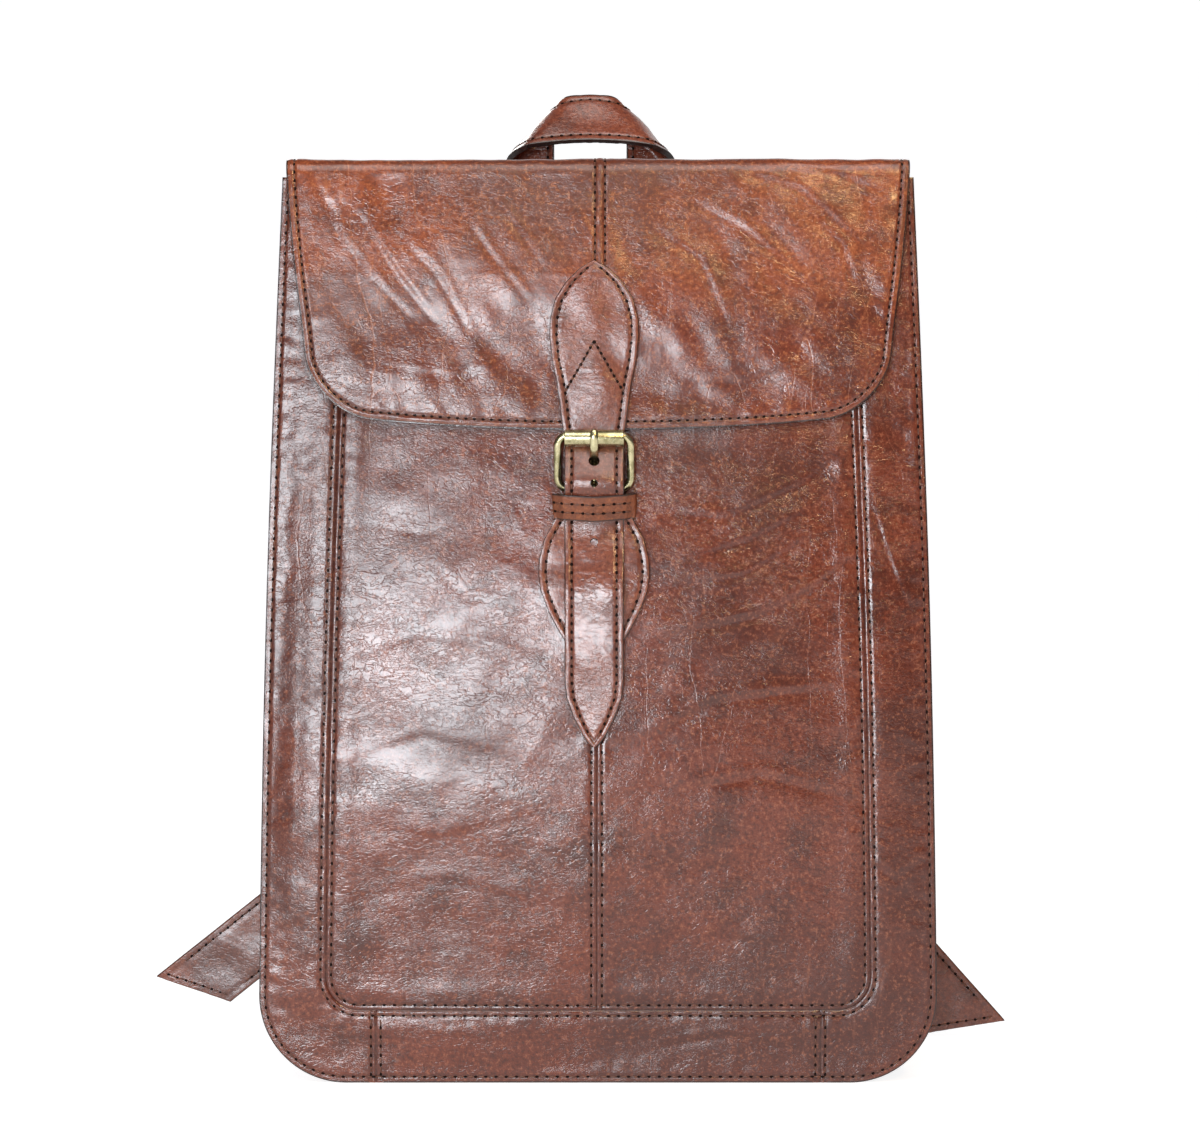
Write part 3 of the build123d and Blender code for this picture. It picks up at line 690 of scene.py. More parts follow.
# %% The folds in the front
# Each fold: its points across and up, its width and its depth.
FRONT_FOLDS = [
    ([(20, 181), (42, 187), (66, 192), (88, 203), (106, 217)], 2.2, 0.55),
    ([(36, 215), (62, 223), (93, 239)], 1.8, 0.42),
    ([(-104, 172), (-74, 182), (-42, 178), (-18, 166)], 2.2, 0.42),
    ([(-70, 216), (-54, 200), (-24, 195)], 1.7, 0.40),
    ([(16, 140), (48, 157), (72, 160), (100, 162)], 2.4, 0.45),
    ([(-103, 132), (-72, 143), (-30, 132)], 2.5, 0.40),
    ([(10, 101), (42, 88), (82, 96)], 2.6, 0.40),
    ([(-106, 75), (-62, 84), (-16, 71)], 2.4, 0.36),
    ([(-100, 232), (-72, 226), (-48, 236)], 1.7, 0.34),
    ([(24, 236), (52, 232), (84, 246), (104, 262)], 1.9, 0.36),
    ([(28, 204), (60, 209), (98, 230)], 1.5, 0.34),
    ([(30, 120), (66, 127), (104, 118)], 2.2, 0.34),
    ([(-98, 108), (-66, 101), (-28, 110)], 2.0, 0.30),
    ([(30, 64), (70, 57), (102, 66)], 2.4, 0.30),
    ([(-96, 52), (-52, 57), (-14, 47)], 2.2, 0.28),
    ([(112, 240), (120, 214), (130, 190)], 1.6, 0.30),
    ([(-134, 150), (-122, 158), (-112, 149)], 1.6, 0.30),
    ([(-132, 262), (-122, 254), (-112, 262)], 1.5, 0.28),
    ([(-86, 22), (-40, 17), (10, 24)], 1.8, 0.35),
    ([(20, 14), (54, 20), (86, 12)], 1.8, 0.34),
    ([(-136, 60), (-124, 66), (-112, 58)], 1.7, 0.30),
    ([(112, 92), (122, 84), (134, 92)], 1.7, 0.30),
]


# %% The front's soft surface
NO_SEAM = 40.0
FRONT_FILLING = 8.0
FULLEST = 0.78


def front_gaps(x, z):
    """Distances on the front to its edge, its framed seam, its centre seam and its two foot seams."""
    from_edge = ring_gap(x, z, 0, 0, CORNER)
    from_seam = ring_gap(x, z, SIDE_BORDER, BASE_BORDER, INNER_CORNER)
    from_centre = np.where(z > BASE_BORDER, np.abs(x - FRONT_SEAM_X), NO_SEAM)
    from_foot = np.where(z < BASE_BORDER, np.abs(np.abs(x) - BASE_SEAM_X), NO_SEAM)
    return from_edge, from_seam, from_centre, from_foot


def bulging(x):
    """How much of its filling a panel takes across its width: all in the middle, none at the sides."""
    return np.clip(1 - (x / (BASE_HALF + 4)) ** 2, 0, 1)


def front_relief(x, z):
    """How far the front stands proud of its flat place: filling, folds, seams and stitch grooves."""
    filling = FRONT_FILLING * bulging(x) * np.sin(pi * np.clip(z / (PANEL_TOP * FULLEST), 0, 1)) ** 1.2
    soft = 0.34 * swell(x, z, 120, 3) + 0.10 * swell(x, z, 46, 5)
    wave = 0.06 * swell(x, z, 21, 8, heading=1.9, spread=0.6)
    small = 0.05 * crumple(x, z, 26, 11, heading=1.9) + 0.025 * crumple(x, z, 12, 15)
    from_edge, from_seam, from_centre, from_foot = front_gaps(x, z)
    calm = ease(from_edge / 14)
    seams = -0.45 * hump(from_seam, 0.5) - 0.4 * hump(from_centre, 0.45) - 0.4 * hump(from_foot, 0.45)
    seams = seams - 0.28 * hump(np.abs(from_seam) - SEAM_ROW, 0.6) - 0.32 * hump(from_edge - EDGE_ROW, 0.65)
    seams = seams - 0.26 * hump(from_centre - SEAM_ROW, 0.6) - 0.26 * hump(from_foot - BASE_SEAM_ROW, 0.6)
    bulge = 0.45 * hump(from_seam - 7, 5) + 0.40 * hump(from_seam + 7, 5)
    pucker = 0.07 * swell(x, z, 9, 21) * (hump(from_seam, 8) + hump(from_edge - 6, 6) + hump(from_centre, 7))
    edge = -0.5 * (1 - ease(from_edge / 4))
    creased = (0.4 + 0.7 * ease(x / 40)) * folds(x, z, FRONT_FOLDS)
    return filling * calm + (soft + wave + small) * calm + creased + seams + bulge + pucker + edge


def on_front(x, z):
    """Depth of a point on the front's face."""
    return FRONT_Y - front_relief(x, z)


def rim_of(gap, reach=2.6, rows=()):
    """The rim value: 1 at a cut edge, 0 a few millimetres in, and below 0 in a stitched groove."""
    groove = sum((hump(row, 0.5) for row in rows), np.zeros_like(gap))
    return (1 - ease(gap / reach)) * (1 - np.minimum(groove, 1)) - np.minimum(groove, 1)


def front_grooves(x, z):
    """Distances from a point on the front to each of its sunk lines."""
    from_edge, from_seam, from_centre, from_foot = front_gaps(x, z)
    lines = [from_edge - EDGE_ROW, from_seam, np.abs(from_seam) - SEAM_ROW]
    return lines + [from_centre, from_centre - SEAM_ROW, from_foot, from_foot - BASE_SEAM_ROW]


# %% The two centre panels
def phase_rows(v, side_share, corner_share):
    """Spread the rows over the side, the corner and the base, denser in the corner."""
    down = v / side_share
    turn = 1 + (v - side_share) / corner_share
    base_share = max(1e-6, 1 - side_share - corner_share)
    inward = 2 + (v - side_share - corner_share) / base_share
    return np.where(v <= side_share, down, np.where(v <= side_share + corner_share, turn, inward))


def centre_panel(side):
    """The rule for one centre panel, from its curved outer seam to the centre seam."""
    def place(u, v):
        phase = phase_rows(v, 0.94, 0.06)
        edge_x, z = ring_point(phase, SIDE_BORDER, BASE_BORDER, INNER_CORNER, 0, PANEL_TOP)
        x = mix(side * edge_x, FRONT_SEAM_X, crowd(u, 112))
        return x, on_front(x, z), z, rim_of(PANEL_TOP - z, rows=front_grooves(x, z))
    return place


def skin(node, across, along, place, slots, outward=OUT_FRONT, **settings):
    """A finished leather skin of the bag's own body that stands for one node of the frame."""
    piece = grid_piece(f"{node}_skin", across, along, place, outward)
    finish_sheet(piece, slots, **settings)
    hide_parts(node)
    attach(piece, "bag")
    return piece


HIDE = ("body_leather", "cut_edge", "flesh_side")
BOTH_SIDES = ((-1, "left"), (1, "right"))
for side, word in BOTH_SIDES:
    skin(f"front_centre_{word}", 100, 300, centre_panel(side), HIDE)

# %% [markdown]
# The border's side pieces run down the side and round the corner to a short upright seam, as an L of
# constant width. Its rows turn with the corner, which keeps the faces square all the way round.

# %% The three border pieces
def side_border(side):
    """The rule for a side border: outer edge to inner seam, from the top round to the base seam."""
    def place(u, v):
        phase = phase_rows(v, 0.80, 0.10)
        insets = (SIDE_BORDER * u, BASE_BORDER * u, mix(CORNER, INNER_CORNER, u))
        x, z = ring_point(phase, *insets, BASE_SEAM_X, PANEL_TOP)
        x = side * x
        gap = np.minimum(ring_gap(x, z, 0, 0, CORNER), PANEL_TOP - z)
        return x, on_front(x, z), z, rim_of(gap, rows=front_grooves(x, z))
    return place


def base_border(u, v):
    """The rule for the base border, between the two short seams."""
    x = mix(-BASE_SEAM_X, BASE_SEAM_X, u)
    z = BASE_BORDER * v
    return x, on_front(x, z), z, rim_of(z, rows=front_grooves(x, z))


for side, word in BOTH_SIDES:
    skin(f"front_border_{word}", 44, 380, side_border(side), HIDE)
skin("front_border_base", 170, 48, base_border, HIDE)

# %% [markdown]
# ## The back panel
#
# The back is one hide of the same outline, a little taller because the flap is sewn to its top edge.
# It lies flat where the straps are sewn on and swells softly between them.

# %% The back
def on_back(x, z):
    """Depth of a point on the back's face."""
    filling = 1.6 * bulging(x) * hump(z - 170, 75)
    soft = 0.35 * swell(x, z, 110, 31) + 0.12 * swell(x, z, 38, 33)
    small = 0.10 * crumple(x, z, 24, 35)
    from_edge = ring_gap(x, z, 0, 0, CORNER)
    calm = ease(from_edge / 14) * (1 - 0.9 * ease((z - 262) / 30))
    calm = calm * (1 - 0.9 * hump(np.abs(x) - 112, 24) * hump(z - 66, 34))
    groove = -0.30 * hump(from_edge - EDGE_ROW, 0.65) - 0.8 * (1 - ease(from_edge / 6))
    return BACK_Y + (filling + soft + small) * calm + groove


def back_panel(u, v):
    """The rule for the back: side to side in rows that follow the round lower corners."""
    phase = phase_rows(v, 0.86, 0.14)
    edge_x, z = ring_point(phase, 0, 0, CORNER, 0, BACK_TOP)
    x = mix(-edge_x, edge_x, crowd(u, 278, lines=0.07))
    gap = np.minimum(ring_gap(x, z, 0, 0, CORNER), BACK_TOP - z)
    return x, on_back(x, z), z, rim_of(gap, rows=[gap - EDGE_ROW])


skin("back_panel", 170, 240, back_panel, HIDE, outward=OUT_BACK)

# %% [markdown]
# ## The gusset: sides and base
#
# One long strip joins the front to the back. Each of its edges turns outward behind the panel to make
# the flat sewn rim that runs all round the bag, and between the rims the strip is loose: it folds in
# a little along the sides and sags to the floor under the base. It is a lofted shell, swept round the
# outline from a soft section, so it never looks like boards. It is cut in three where the hide is
# pieced, with the same rule for all, so the cut ends meet.

# %% The gusset
SIDE_FOLD = 7.0
BASE_SAG = 3.6
FLANGE_FACE = LEATHER + 1.6
GUSSET_SPLIT = 2.32


def gusset_section(w):
    """Inset from the outline, depth, and looseness, from the front rim (w 0) to the back rim (w 1)."""
    front_flange = -(BACK_Y - FLANGE_FACE)
    depth_rows = [0.0, 0.06, 0.10, 0.14, 0.86, 0.90, 0.94, 1.0]
    inset_rows = [0.5, FLANGE, FLANGE + 0.9, FLANGE + 1.2, FLANGE + 1.2, FLANGE + 0.9, FLANGE, 0.5]
    inset = np.interp(w, depth_rows, inset_rows)
    turned = [front_flange, front_flange, front_flange + 1.2, front_flange + 5]
    depth = np.interp(w, depth_rows, turned + [-value for value in reversed(turned)])
    loose = ease((w - 0.12) / 0.16) * ease((0.88 - w) / 0.16)
    return inset, depth, loose


def gusset(low_phase, high_phase, side):
    """The rule for a stretch of the gusset on one side, or for the base right across."""
    def place(u, v):
        inset, y, loose = gusset_section(v)
        if side:
            phase = mix(low_phase, high_phase, u)
            sign = side
        else:
            phase = np.where(u < 0.5, mix(low_phase, 3.0, u * 2), mix(3.0, low_phase, u * 2 - 1))
            sign = np.where(u < 0.5, -1.0, 1.0)
        along = np.where(phase <= 1, phase * 337, 337 + (phase - 1) * 56 + np.maximum(phase - 2, 0) * 48)
        share = ease((phase - 1.15) / 0.6)
        fold = SIDE_FOLD * hump(y, 20) * (0.75 + 0.35 * np.sin(along / 61 + sign)) * (1 - share)
        fold = fold + 0.9 * swell(along * sign, y, 34, 41) + 0.5 * crumple(along * sign, y, 22, 43)
        sag = -BASE_SAG * hump(y, 34) * share
        deeper = inset + (fold * (1 - share) + 0.4 * swell(along * sign, y, 30, 45) * share + sag) * loose
        deeper = np.maximum(deeper, 0.45)
        x, z = ring_point(phase, deeper, deeper, CORNER - deeper, 0, PANEL_TOP - 0.4)
        z = np.maximum(z, 0.25)
        return sign * x, y, z, np.where(v < 0.03, 0.6, 0.0) + np.where(v > 0.97, 0.6, 0.0)
    return place


GUSSET_THICK = 1.5
for side, word in BOTH_SIDES:
    skin(f"gusset_{word}", 260, 72, gusset(0.0, GUSSET_SPLIT, side), HIDE,
         outward=(side, 0, 0), thickness=GUSSET_THICK)
skin("base_gusset", 120, 72, gusset(GUSSET_SPLIT, 3.0, 0), HIDE,
     outward=(0, 0, -1), thickness=GUSSET_THICK)

# %% [markdown]
# ## The lining
#
# Inside hangs a cotton bag, sewn round the opening and loose below, with soft upright folds. It starts
# as a grid wrapped into a tube: its first rows spread out from the middle of the floor and the rest
# climb the walls. The two ends of the wrap are merged, so the bag is closed.

# %% The lining
lining_low, lining_high = box_mm("lining")
LINING_GAP = 0.9
LINING_SLACK = 6.4
LINING_DEEP = BACK_Y - LEATHER - LINING_GAP - 0.6


def lining(u, v):
    """The rule for the lining: u goes round the bag and v from the middle of its floor to its top."""
    turn = u * 2 * pi
    floor_share = np.clip(v / 0.2, 0, 1)
    climb = np.clip((v - 0.2) / 0.8, 0, 1)
    z = mix(lining_low.z + 1.0, lining_high.z, climb) + 6.0 * ease(1 - climb / 0.06) * floor_share**3
    wide = half_width(z) - FLANGE - SIDE_FOLD - LINING_SLACK
    corner = ease((CORNER + 4 - z) / CORNER)
    wide = wide - 20 * corner**2
    power = 0.16
    cosine, sine = np.cos(turn), np.sin(turn)
    ring_x = np.sign(cosine) * np.abs(cosine) ** power
    ring_y = np.sign(sine) * np.abs(sine) ** power
    loose = ease(climb / 0.2) * ease((1 - climb) / 0.25)
    drape = (1.6 + 1.4 * swell(u * 760, z * 0.35, 46, 51)) * loose
    x = ring_x * (wide - np.maximum(drape, 0)) * floor_share
    y = ring_y * (LINING_DEEP - np.maximum(drape, 0) * 1.2) * floor_share
    z = z + np.where(climb <= 0, 0.5 * swell(x, y, 40, 53), 0)
    return x, y, z, np.where(climb > 0.98, 0.5, 0.0)


def make_lining():
    """The lining bag, closed along its wrap and given the cloth's thickness."""
    piece = grid_piece("lining_cloth_bag", 300, 120, lining)
    edit_all(piece, (bpy.ops.mesh.remove_doubles, {"threshold": 0.00002}),
             (bpy.ops.mesh.normals_make_consistent, {"inside": False}))
    finish_sheet(piece, ("lining_cloth",), thickness=0.7, round_off=0.15)
    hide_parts("lining")
    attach(piece, "bag")


make_lining()

# %% [markdown]
# ## The flap
#
# The flap is sewn to the back's top edge, runs forward over the opening, turns down at a soft fold and
# hangs over the front to a curved lower edge with wide corners. It is pieced from two halves with a
# double-stitched seam in the middle.

# %% The flap's path and outline
FOLD_RADIUS = 8.0
FLAP_REAR_Y = box_mm("flap_top_left")[1].y
FLAP_CORNER = 27.0
TOP_RUN = FLAP_REAR_Y - (FLAP_FACE + FOLD_RADIUS)
FOLD_ARC = FOLD_RADIUS * pi / 2
DROP_RUN = FLAP_TOP - FOLD_RADIUS - FLAP_EDGE
FLAP_RUN = TOP_RUN + FOLD_ARC + DROP_RUN
EDGE_HALF = 119.5
EDGE_CURVE = 3.4
LEAN_FROM = 66.0
LEAN_SLOPE = 0.05
# Each fold: its points across and up from the lower edge, its width and its depth.
FLAP_FOLDS = [
    ([(-112, 88), (-96, 66), (-76, 44)], 1.7, 0.55),
    ([(-100, 92), (-84, 66), (-66, 42)], 1.5, 0.60),
    ([(-86, 84), (-66, 64), (-52, 38)], 1.6, 0.55),
    ([(-60, 96), (-44, 72), (-28, 52)], 1.5, 0.50),
    ([(-46, 98), (-34, 84), (-22, 66)], 1.4, 0.45),
    ([(-118, 106), (-108, 88), (-104, 66)], 1.5, 0.40),
    ([(20, 84), (42, 70), (54, 40)], 1.7, 0.42),
    ([(34, 96), (58, 84), (84, 62)], 1.8, 0.42),
    ([(52, 108), (84, 98), (112, 72)], 2.0, 0.45),
    ([(70, 112), (96, 106), (122, 96)], 1.6, 0.45),
    ([(84, 92), (100, 76), (108, 52)], 1.5, 0.40),
    ([(-90, 24), (-60, 20), (-34, 26)], 1.7, 0.35),
    ([(30, 22), (60, 18), (96, 28)], 1.7, 0.35),
    ([(-96, 118), (-60, 128), (-22, 121)], 2.4, 0.45),
    ([(20, 122), (64, 130), (104, 120)], 2.4, 0.45),
]


def flap_straight(up):
    """Half the flap's width at a distance up from its lower edge, without its round corners."""
    return mix(EDGE_HALF, FLAP_HALF, ease(up / (DROP_RUN * 1.15)))


def flap_half(up, inset=0.0):
    """Half the width, round corners included, of the flap or of a row an inset from its corner."""
    short = np.clip(FLAP_CORNER - up, 0, FLAP_CORNER - inset)
    return flap_straight(up) - FLAP_CORNER + np.sqrt((FLAP_CORNER - inset) ** 2 - short**2)


def flap_gap(x, up):
    """How far inside the flap's cut edges a point is."""
    side = flap_straight(up) - np.abs(x)
    round_off = FLAP_CORNER - np.hypot(np.maximum(FLAP_CORNER - side, 0), np.maximum(FLAP_CORNER - up, 0))
    return np.where((side < FLAP_CORNER) & (up < FLAP_CORNER), round_off, np.minimum(side, up))


def flap_relief(x, up):
    """How far the flap stands proud of its plain path."""
    soft = 0.50 * swell(x, up, 95, 61) + 0.14 * swell(x, up, 40, 63)
    wave = 0.08 * swell(x, up, 17, 65, heading=0.75, spread=0.5)
    small = 0.06 * crumple(x, up, 22, 67, heading=0.75) + 0.03 * crumple(x, up, 11, 69)
    gap = flap_gap(x, up)
    from_seam = x - FLAP_SEAM_X
    calm = ease(gap / 16)
    seams = 0.3 * hump(from_seam, 1.2) - 0.25 * hump(np.abs(from_seam) - FLAP_SEAM_ROW, 0.6)
    edge = -0.34 * hump(gap - FLAP_ROW, 0.65) - 0.3 * (1 - ease(gap / 2.2))
    pucker = 0.07 * swell(x, up, 9, 71) * (hump(gap - 6, 6) + hump(from_seam, 7))
    soft = soft * (1 - 0.75 * hump(up - DROP_RUN - FOLD_ARC / 2, 12))
    leaned = np.maximum(up - LEAN_FROM + 3 * np.exp(-np.abs(up - LEAN_FROM) / 5), 0) * LEAN_SLOPE
    leaned = np.minimum(leaned, (DROP_RUN - LEAN_FROM) * LEAN_SLOPE) * ease((DROP_RUN + 13 - up) / 13)
    creased = 0.65 * folds(x, up, FLAP_FOLDS)
    return (soft + wave) * calm + small * calm + creased + seams + edge + pucker - leaned


def on_flap(x, up, above=0.0):
    """The point and the outward direction on the flap's face at x and a distance up from its edge."""
    run = FLAP_RUN - up
    turn = np.clip((run - TOP_RUN) / FOLD_ARC, 0, 1) * pi / 2
    drop = np.maximum(run - TOP_RUN - FOLD_ARC, 0)
    centre_z = FLAP_TOP - FOLD_RADIUS
    y = FLAP_REAR_Y - np.minimum(run, TOP_RUN) - FOLD_RADIUS * np.sin(turn)
    z = centre_z + FOLD_RADIUS * np.cos(turn) - drop
    curve = EDGE_CURVE * (np.abs(x) / 85) ** 2.2 * ease(1 - up / 70)
    out_y, out_z = -np.sin(turn), np.cos(turn)
    lift = flap_relief(x, up) + above
    return y + out_y * lift, z + curve + out_z * lift, out_y, out_z


CORNER_SHARE = 0.16


def flap_up(v):
    """How far up from the flap's lower edge a row of its grid lies, denser round the corners."""
    turn = np.clip(v / CORNER_SHARE, 0, 1) * pi / 2
    beyond = np.clip((v - CORNER_SHARE) / (1 - CORNER_SHARE), 0, 1)
    return FLAP_CORNER * (1 - np.cos(turn)) + beyond * (FLAP_RUN - FLAP_CORNER)


def flap_side(side):
    """The rule for half of the flap, from the centre seam to its side edge and from edge to rear."""
    def place(u, v):
        up = flap_up(v)
        x = mix(FLAP_SEAM_X, side * flap_half(up), crowd(u, 125))
        y, z, _, _ = on_flap(x, up)
        gap = flap_gap(x, up)
        rows = [gap - FLAP_ROW, np.abs(x - FLAP_SEAM_X) - FLAP_SEAM_ROW]
        return x, y, z, rim_of(np.minimum(gap, FLAP_RUN - up + 4), rows=rows)
    return place


FOLD_START = (0, (FLAP_FACE + FOLD_RADIUS + 3) * MM, FLAP_TOP * MM)
FOLD_END = (0, FLAP_FACE * MM, (FLAP_TOP - FOLD_RADIUS - 3) * MM)
FLAP_HIDE = ("flap_leather", "cut_edge", "flesh_side")
for side, word in BOTH_SIDES:
    piece = grid_piece(f"flap_{word}_skin", 110, 190, flap_side(side), (0, -1, 0.6))
    finish_sheet(piece, FLAP_HIDE)
    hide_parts(f"flap_top_{word}", f"flap_front_{word}")
    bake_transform(piece)

# %% The flap's lining
LINING_INSET = 1.6


def flap_lining(u, v):
    """The rule for the flap's lining: just under the hide and a little smaller all round."""
    up = flap_up(v)
    half = flap_half(up) - LINING_INSET
    up = np.minimum(up + LINING_INSET, FLAP_RUN - LINING_INSET)
    x = mix(-half, half, u)
    y, z, _, _ = on_flap(x, up, above=-LEATHER - 0.02)
    return x, y, z, 0.0


piece = grid_piece("flap_lining_skin", 120, 110, flap_lining, (0, -1, 0.6))
finish_sheet(piece, ("flesh_side", "cut_edge", "lining_cloth"), thickness=0.8, round_off=0.2)
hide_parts("flap_top_lining", "flap_front_lining")
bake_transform(piece)

# %% [markdown]
# ## The flap's hinge strip
#
# Where the flap meets the back, a strip of leather is sewn to both. It is what bends when the bag is
# opened, and it runs up the back, round the top edge and on to the flap's top.

# %% The hinge strip
HINGE_FOOT = BACK_TOP - 15.5
HINGE_HALF = FLAP_HALF - 2.5


def hinge_strip(u, v):
    """The rule for the hinge strip: up the back, round the top edge and on to the flap."""
    x = mix(-HINGE_HALF, HINGE_HALF, u)
    path_y = [BACK_Y + 1.5, BACK_Y + 1.6, BACK_Y + 1.6, BACK_Y + 1.2, BACK_Y, BACK_Y - 1.8, BACK_Y - 8]
    path_z = [HINGE_FOOT, BACK_TOP - 6, BACK_TOP - 1]
    path_z += [FLAP_TOP - 0.9, FLAP_TOP + 0.8, FLAP_TOP + 1.5, FLAP_TOP + 1.5]
    share = np.linspace(0, 1, len(path_y))
    lift = 0.12 * swell(x, v * 25, 24, 81)
    gap = np.minimum(np.minimum(v, 1 - v) * 25, HINGE_HALF - np.abs(x))
    return x, np.interp(v, share, path_y) + lift, np.interp(v, share, path_z), rim_of(gap, 3)


piece = grid_piece("flap_hinge_strip", 160, 24, hinge_strip, (0, 1, 0.3))
finish_sheet(piece, HIDE, thickness=THIN_LEATHER, round_off=0.35)
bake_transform(piece)

# %% [markdown]
# ## Stitches
#
# Every seam is sewn with thick waxed thread. One stitch is modelled: a short rounded barrel that dips
# into its holes at both ends. It is then copied along each row at the machine's pitch, a whole row as
# one mesh, because thousands of single objects would be slow and no easier to change.

# %% One stitch and rows of it
THREAD_HALF = 0.42
STITCH_SHARE = 0.78
HOLE_SHADE_SIZE = (1.55, 1.2, 0.8)


def make_ball(segments, rings):
    """The points and faces of a low ball a unit across, its poles along X."""
    clear_selection()
    bpy.ops.mesh.primitive_uv_sphere_add(segments=segments, ring_count=rings, radius=0.5,
                                         rotation=(0, pi / 2, 0))
    bpy.ops.object.transform_apply(location=False, rotation=True, scale=False)
    ball = bpy.context.object
    points, faces = read_points(ball), [list(face.vertices) for face in ball.data.polygons]
    bpy.data.objects.remove(ball, do_unlink=True)
    return points, faces


def make_stitch():
    """One stitch along X, a unit long, that dives at its ends, and a flat dark dot of painted shade for a
    needle hole.
    """
    points, faces = make_ball(6, 6)
    points[:, 2] -= 0.45 * (points[:, 0] * 2) ** 4
    hole_shade_points, hole_shade_faces = make_ball(8, 4)
    return points, faces, hole_shade_points * HOLE_SHADE_SIZE, hole_shade_faces


stitch_points, stitch_faces, hole_shade_points, hole_shade_faces = make_stitch()
threads = {}


def sew(body, path, facing, pitch=STITCH_PITCH, half=THREAD_HALF, sunk=0.12):
    """Add a row of stitches along a path of points in millimetres, lying against a facing direction."""
    path = np.asarray(path, float)
    facing = np.broadcast_to(np.asarray(facing, float), path.shape)
    run = run_of(path)
    count = max(1, int(round(run[-1] / pitch)))
    centres = (np.arange(count) + 0.5) * run[-1] / count
    length = run[-1] / count * STITCH_SHARE

    def laid(places, shape, lift):
        before, middle, after = (read_along(places + shift * length / 2, run, path) for shift in (-1, 0, 1))
        along = unit_rows(after - before)
        out = square_to(along, read_along(places, run, facing))
        turned = np.stack([along, np.cross(out, along), out], axis=1)
        return (middle + out * lift)[:, None, :] + shape[None] @ turned

    shape = stitch_points * (length, half * 2, half * 2)
    rows = threads.setdefault(body, ([], []))
    rows[0].append(laid(centres, shape, half - sunk - 0.3).reshape(-1, 3) * MM)
    rows[1].append(laid(centres - run[-1] / count / 2, hole_shade_points, 0.0).reshape(-1, 3) * MM)


def finish_thread(name, gathered, body=None, blend=None):
    """Make all the rows gathered under a name into one piece of thread with the painted shade dots of its
    holes.
    """
    points, faces, marks = [], [], []
    patterns = ((stitch_points, stitch_faces), (hole_shade_points, hole_shade_faces))
    for slot, (rows, (shape, shape_faces)) in enumerate(zip(threads.pop(gathered), patterns)):
        start, laid = sum(map(len, points)), np.concatenate(rows)
        points.append(laid)
        for first in range(start, start + len(laid), len(shape)):
            faces += [[first + i for i in face] for face in shape_faces]
        marks += [slot] * (len(faces) - len(marks))
    mesh = bpy.data.meshes.new(name)
    mesh.from_pydata(np.concatenate(points).tolist(), [], faces)
    mesh.materials.append(materials["thread"])
    mesh.materials.append(materials["needle_hole_shade"])
    mesh.polygons.foreach_set("material_index", marks)
    piece = bpy.data.objects.new(name, mesh)
    bpy.context.collection.objects.link(piece)
    edit_all(piece, (bpy.ops.mesh.normals_make_consistent, {"inside": False}))
    bpy.ops.object.shade_smooth()
    if blend:
        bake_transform(piece)
    else:
        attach(piece, body or gathered)
    print(name, len(points[0]) // len(stitch_points), "stitches")
    return piece


# %% Sew the front
def sew_front(x, z):
    """A stitch row on the front."""
    sew("bag", np.stack([x, on_front(x, z), z], axis=1), OUT_FRONT)


def sew_outline(side, side_inset, base_inset, radius):
    """A stitch row that follows half of an inset outline on the front."""
    x, z = ring_point(whole, side_inset, base_inset, radius, 0, PANEL_TOP - 2)
    sew_front(side * x, z)


whole = np.concatenate([np.linspace(0, 1, 220), np.linspace(1.02, 2, 50), np.linspace(2.01, 3, 60)])
for side in (-1, 1):
    sew_outline(side, EDGE_ROW, EDGE_ROW, CORNER - EDGE_ROW)
    for offset in (-SEAM_ROW, SEAM_ROW):
        sew_outline(side, SIDE_BORDER + offset, BASE_BORDER + offset, INNER_CORNER - offset)
    heights = np.linspace(BASE_BORDER + SEAM_ROW, PANEL_TOP - 2, 200)
    sew_front(np.full_like(heights, FRONT_SEAM_X + side * SEAM_ROW), heights)
    for offset in (-BASE_SEAM_ROW, BASE_SEAM_ROW):
        heights = np.linspace(EDGE_ROW + 1, BASE_BORDER - SEAM_ROW - 1, 30)
        sew_front(np.full_like(heights, side * BASE_SEAM_X + offset), heights)

# %% Sew the back's edge
for side in (-1, 1):
    x, z = ring_point(whole, EDGE_ROW, EDGE_ROW, CORNER - EDGE_ROW, 0, BACK_TOP - 17)
    sew("bag", np.stack([side * x, on_back(side * x, z), z], axis=1), OUT_BACK)
x = np.linspace(-HINGE_HALF + 3, HINGE_HALF - 3, 120)
for height in (HINGE_FOOT + 2.4, HINGE_FOOT + 6.0):
    y = BACK_Y + 1.55 + 0.12 * swell(x, np.full_like(x, height - HINGE_FOOT), 24, 81)
    sew("bag", np.stack([x, y, np.full_like(x, height)], axis=1), OUT_BACK)
finish_thread("bag_thread", "bag")


# %% Sew the flap
def flap_row(x, up):
    """Points and outward directions of a row on the flap."""
    y, z, out_y, out_z = on_flap(x, up)
    return np.stack([x, y, z], axis=1), np.stack([np.zeros_like(x), out_y, out_z], axis=1)


def flap_outline(inset):
    """A row round the flap's cut edge, from one rear corner to the other."""
    up = np.concatenate([np.linspace(FLAP_RUN - 3, FLAP_CORNER, 220),
                         FLAP_CORNER - (FLAP_CORNER - inset) * np.sin(np.linspace(0, pi / 2, 40)[1:])])
    half = flap_half(up, inset)
    base = np.linspace(-half[-1], half[-1], 120)[1:-1]
    x = np.concatenate([-half, base, half[::-1]])
    return x, np.concatenate([up, np.full_like(base, inset), up[::-1]])


sew("flap", *flap_row(*flap_outline(FLAP_ROW)), pitch=FINE_PITCH)
for offset in (-FLAP_SEAM_ROW, FLAP_SEAM_ROW):
    up = np.linspace(FLAP_RUN - 4, 66, 160)
    sew("flap", *flap_row(np.full_like(up, FLAP_SEAM_X + offset), up), pitch=FINE_PITCH)
finish_thread("flap_thread", "flap", blend=("flap_top", "flap_front", FOLD_START, FOLD_END))

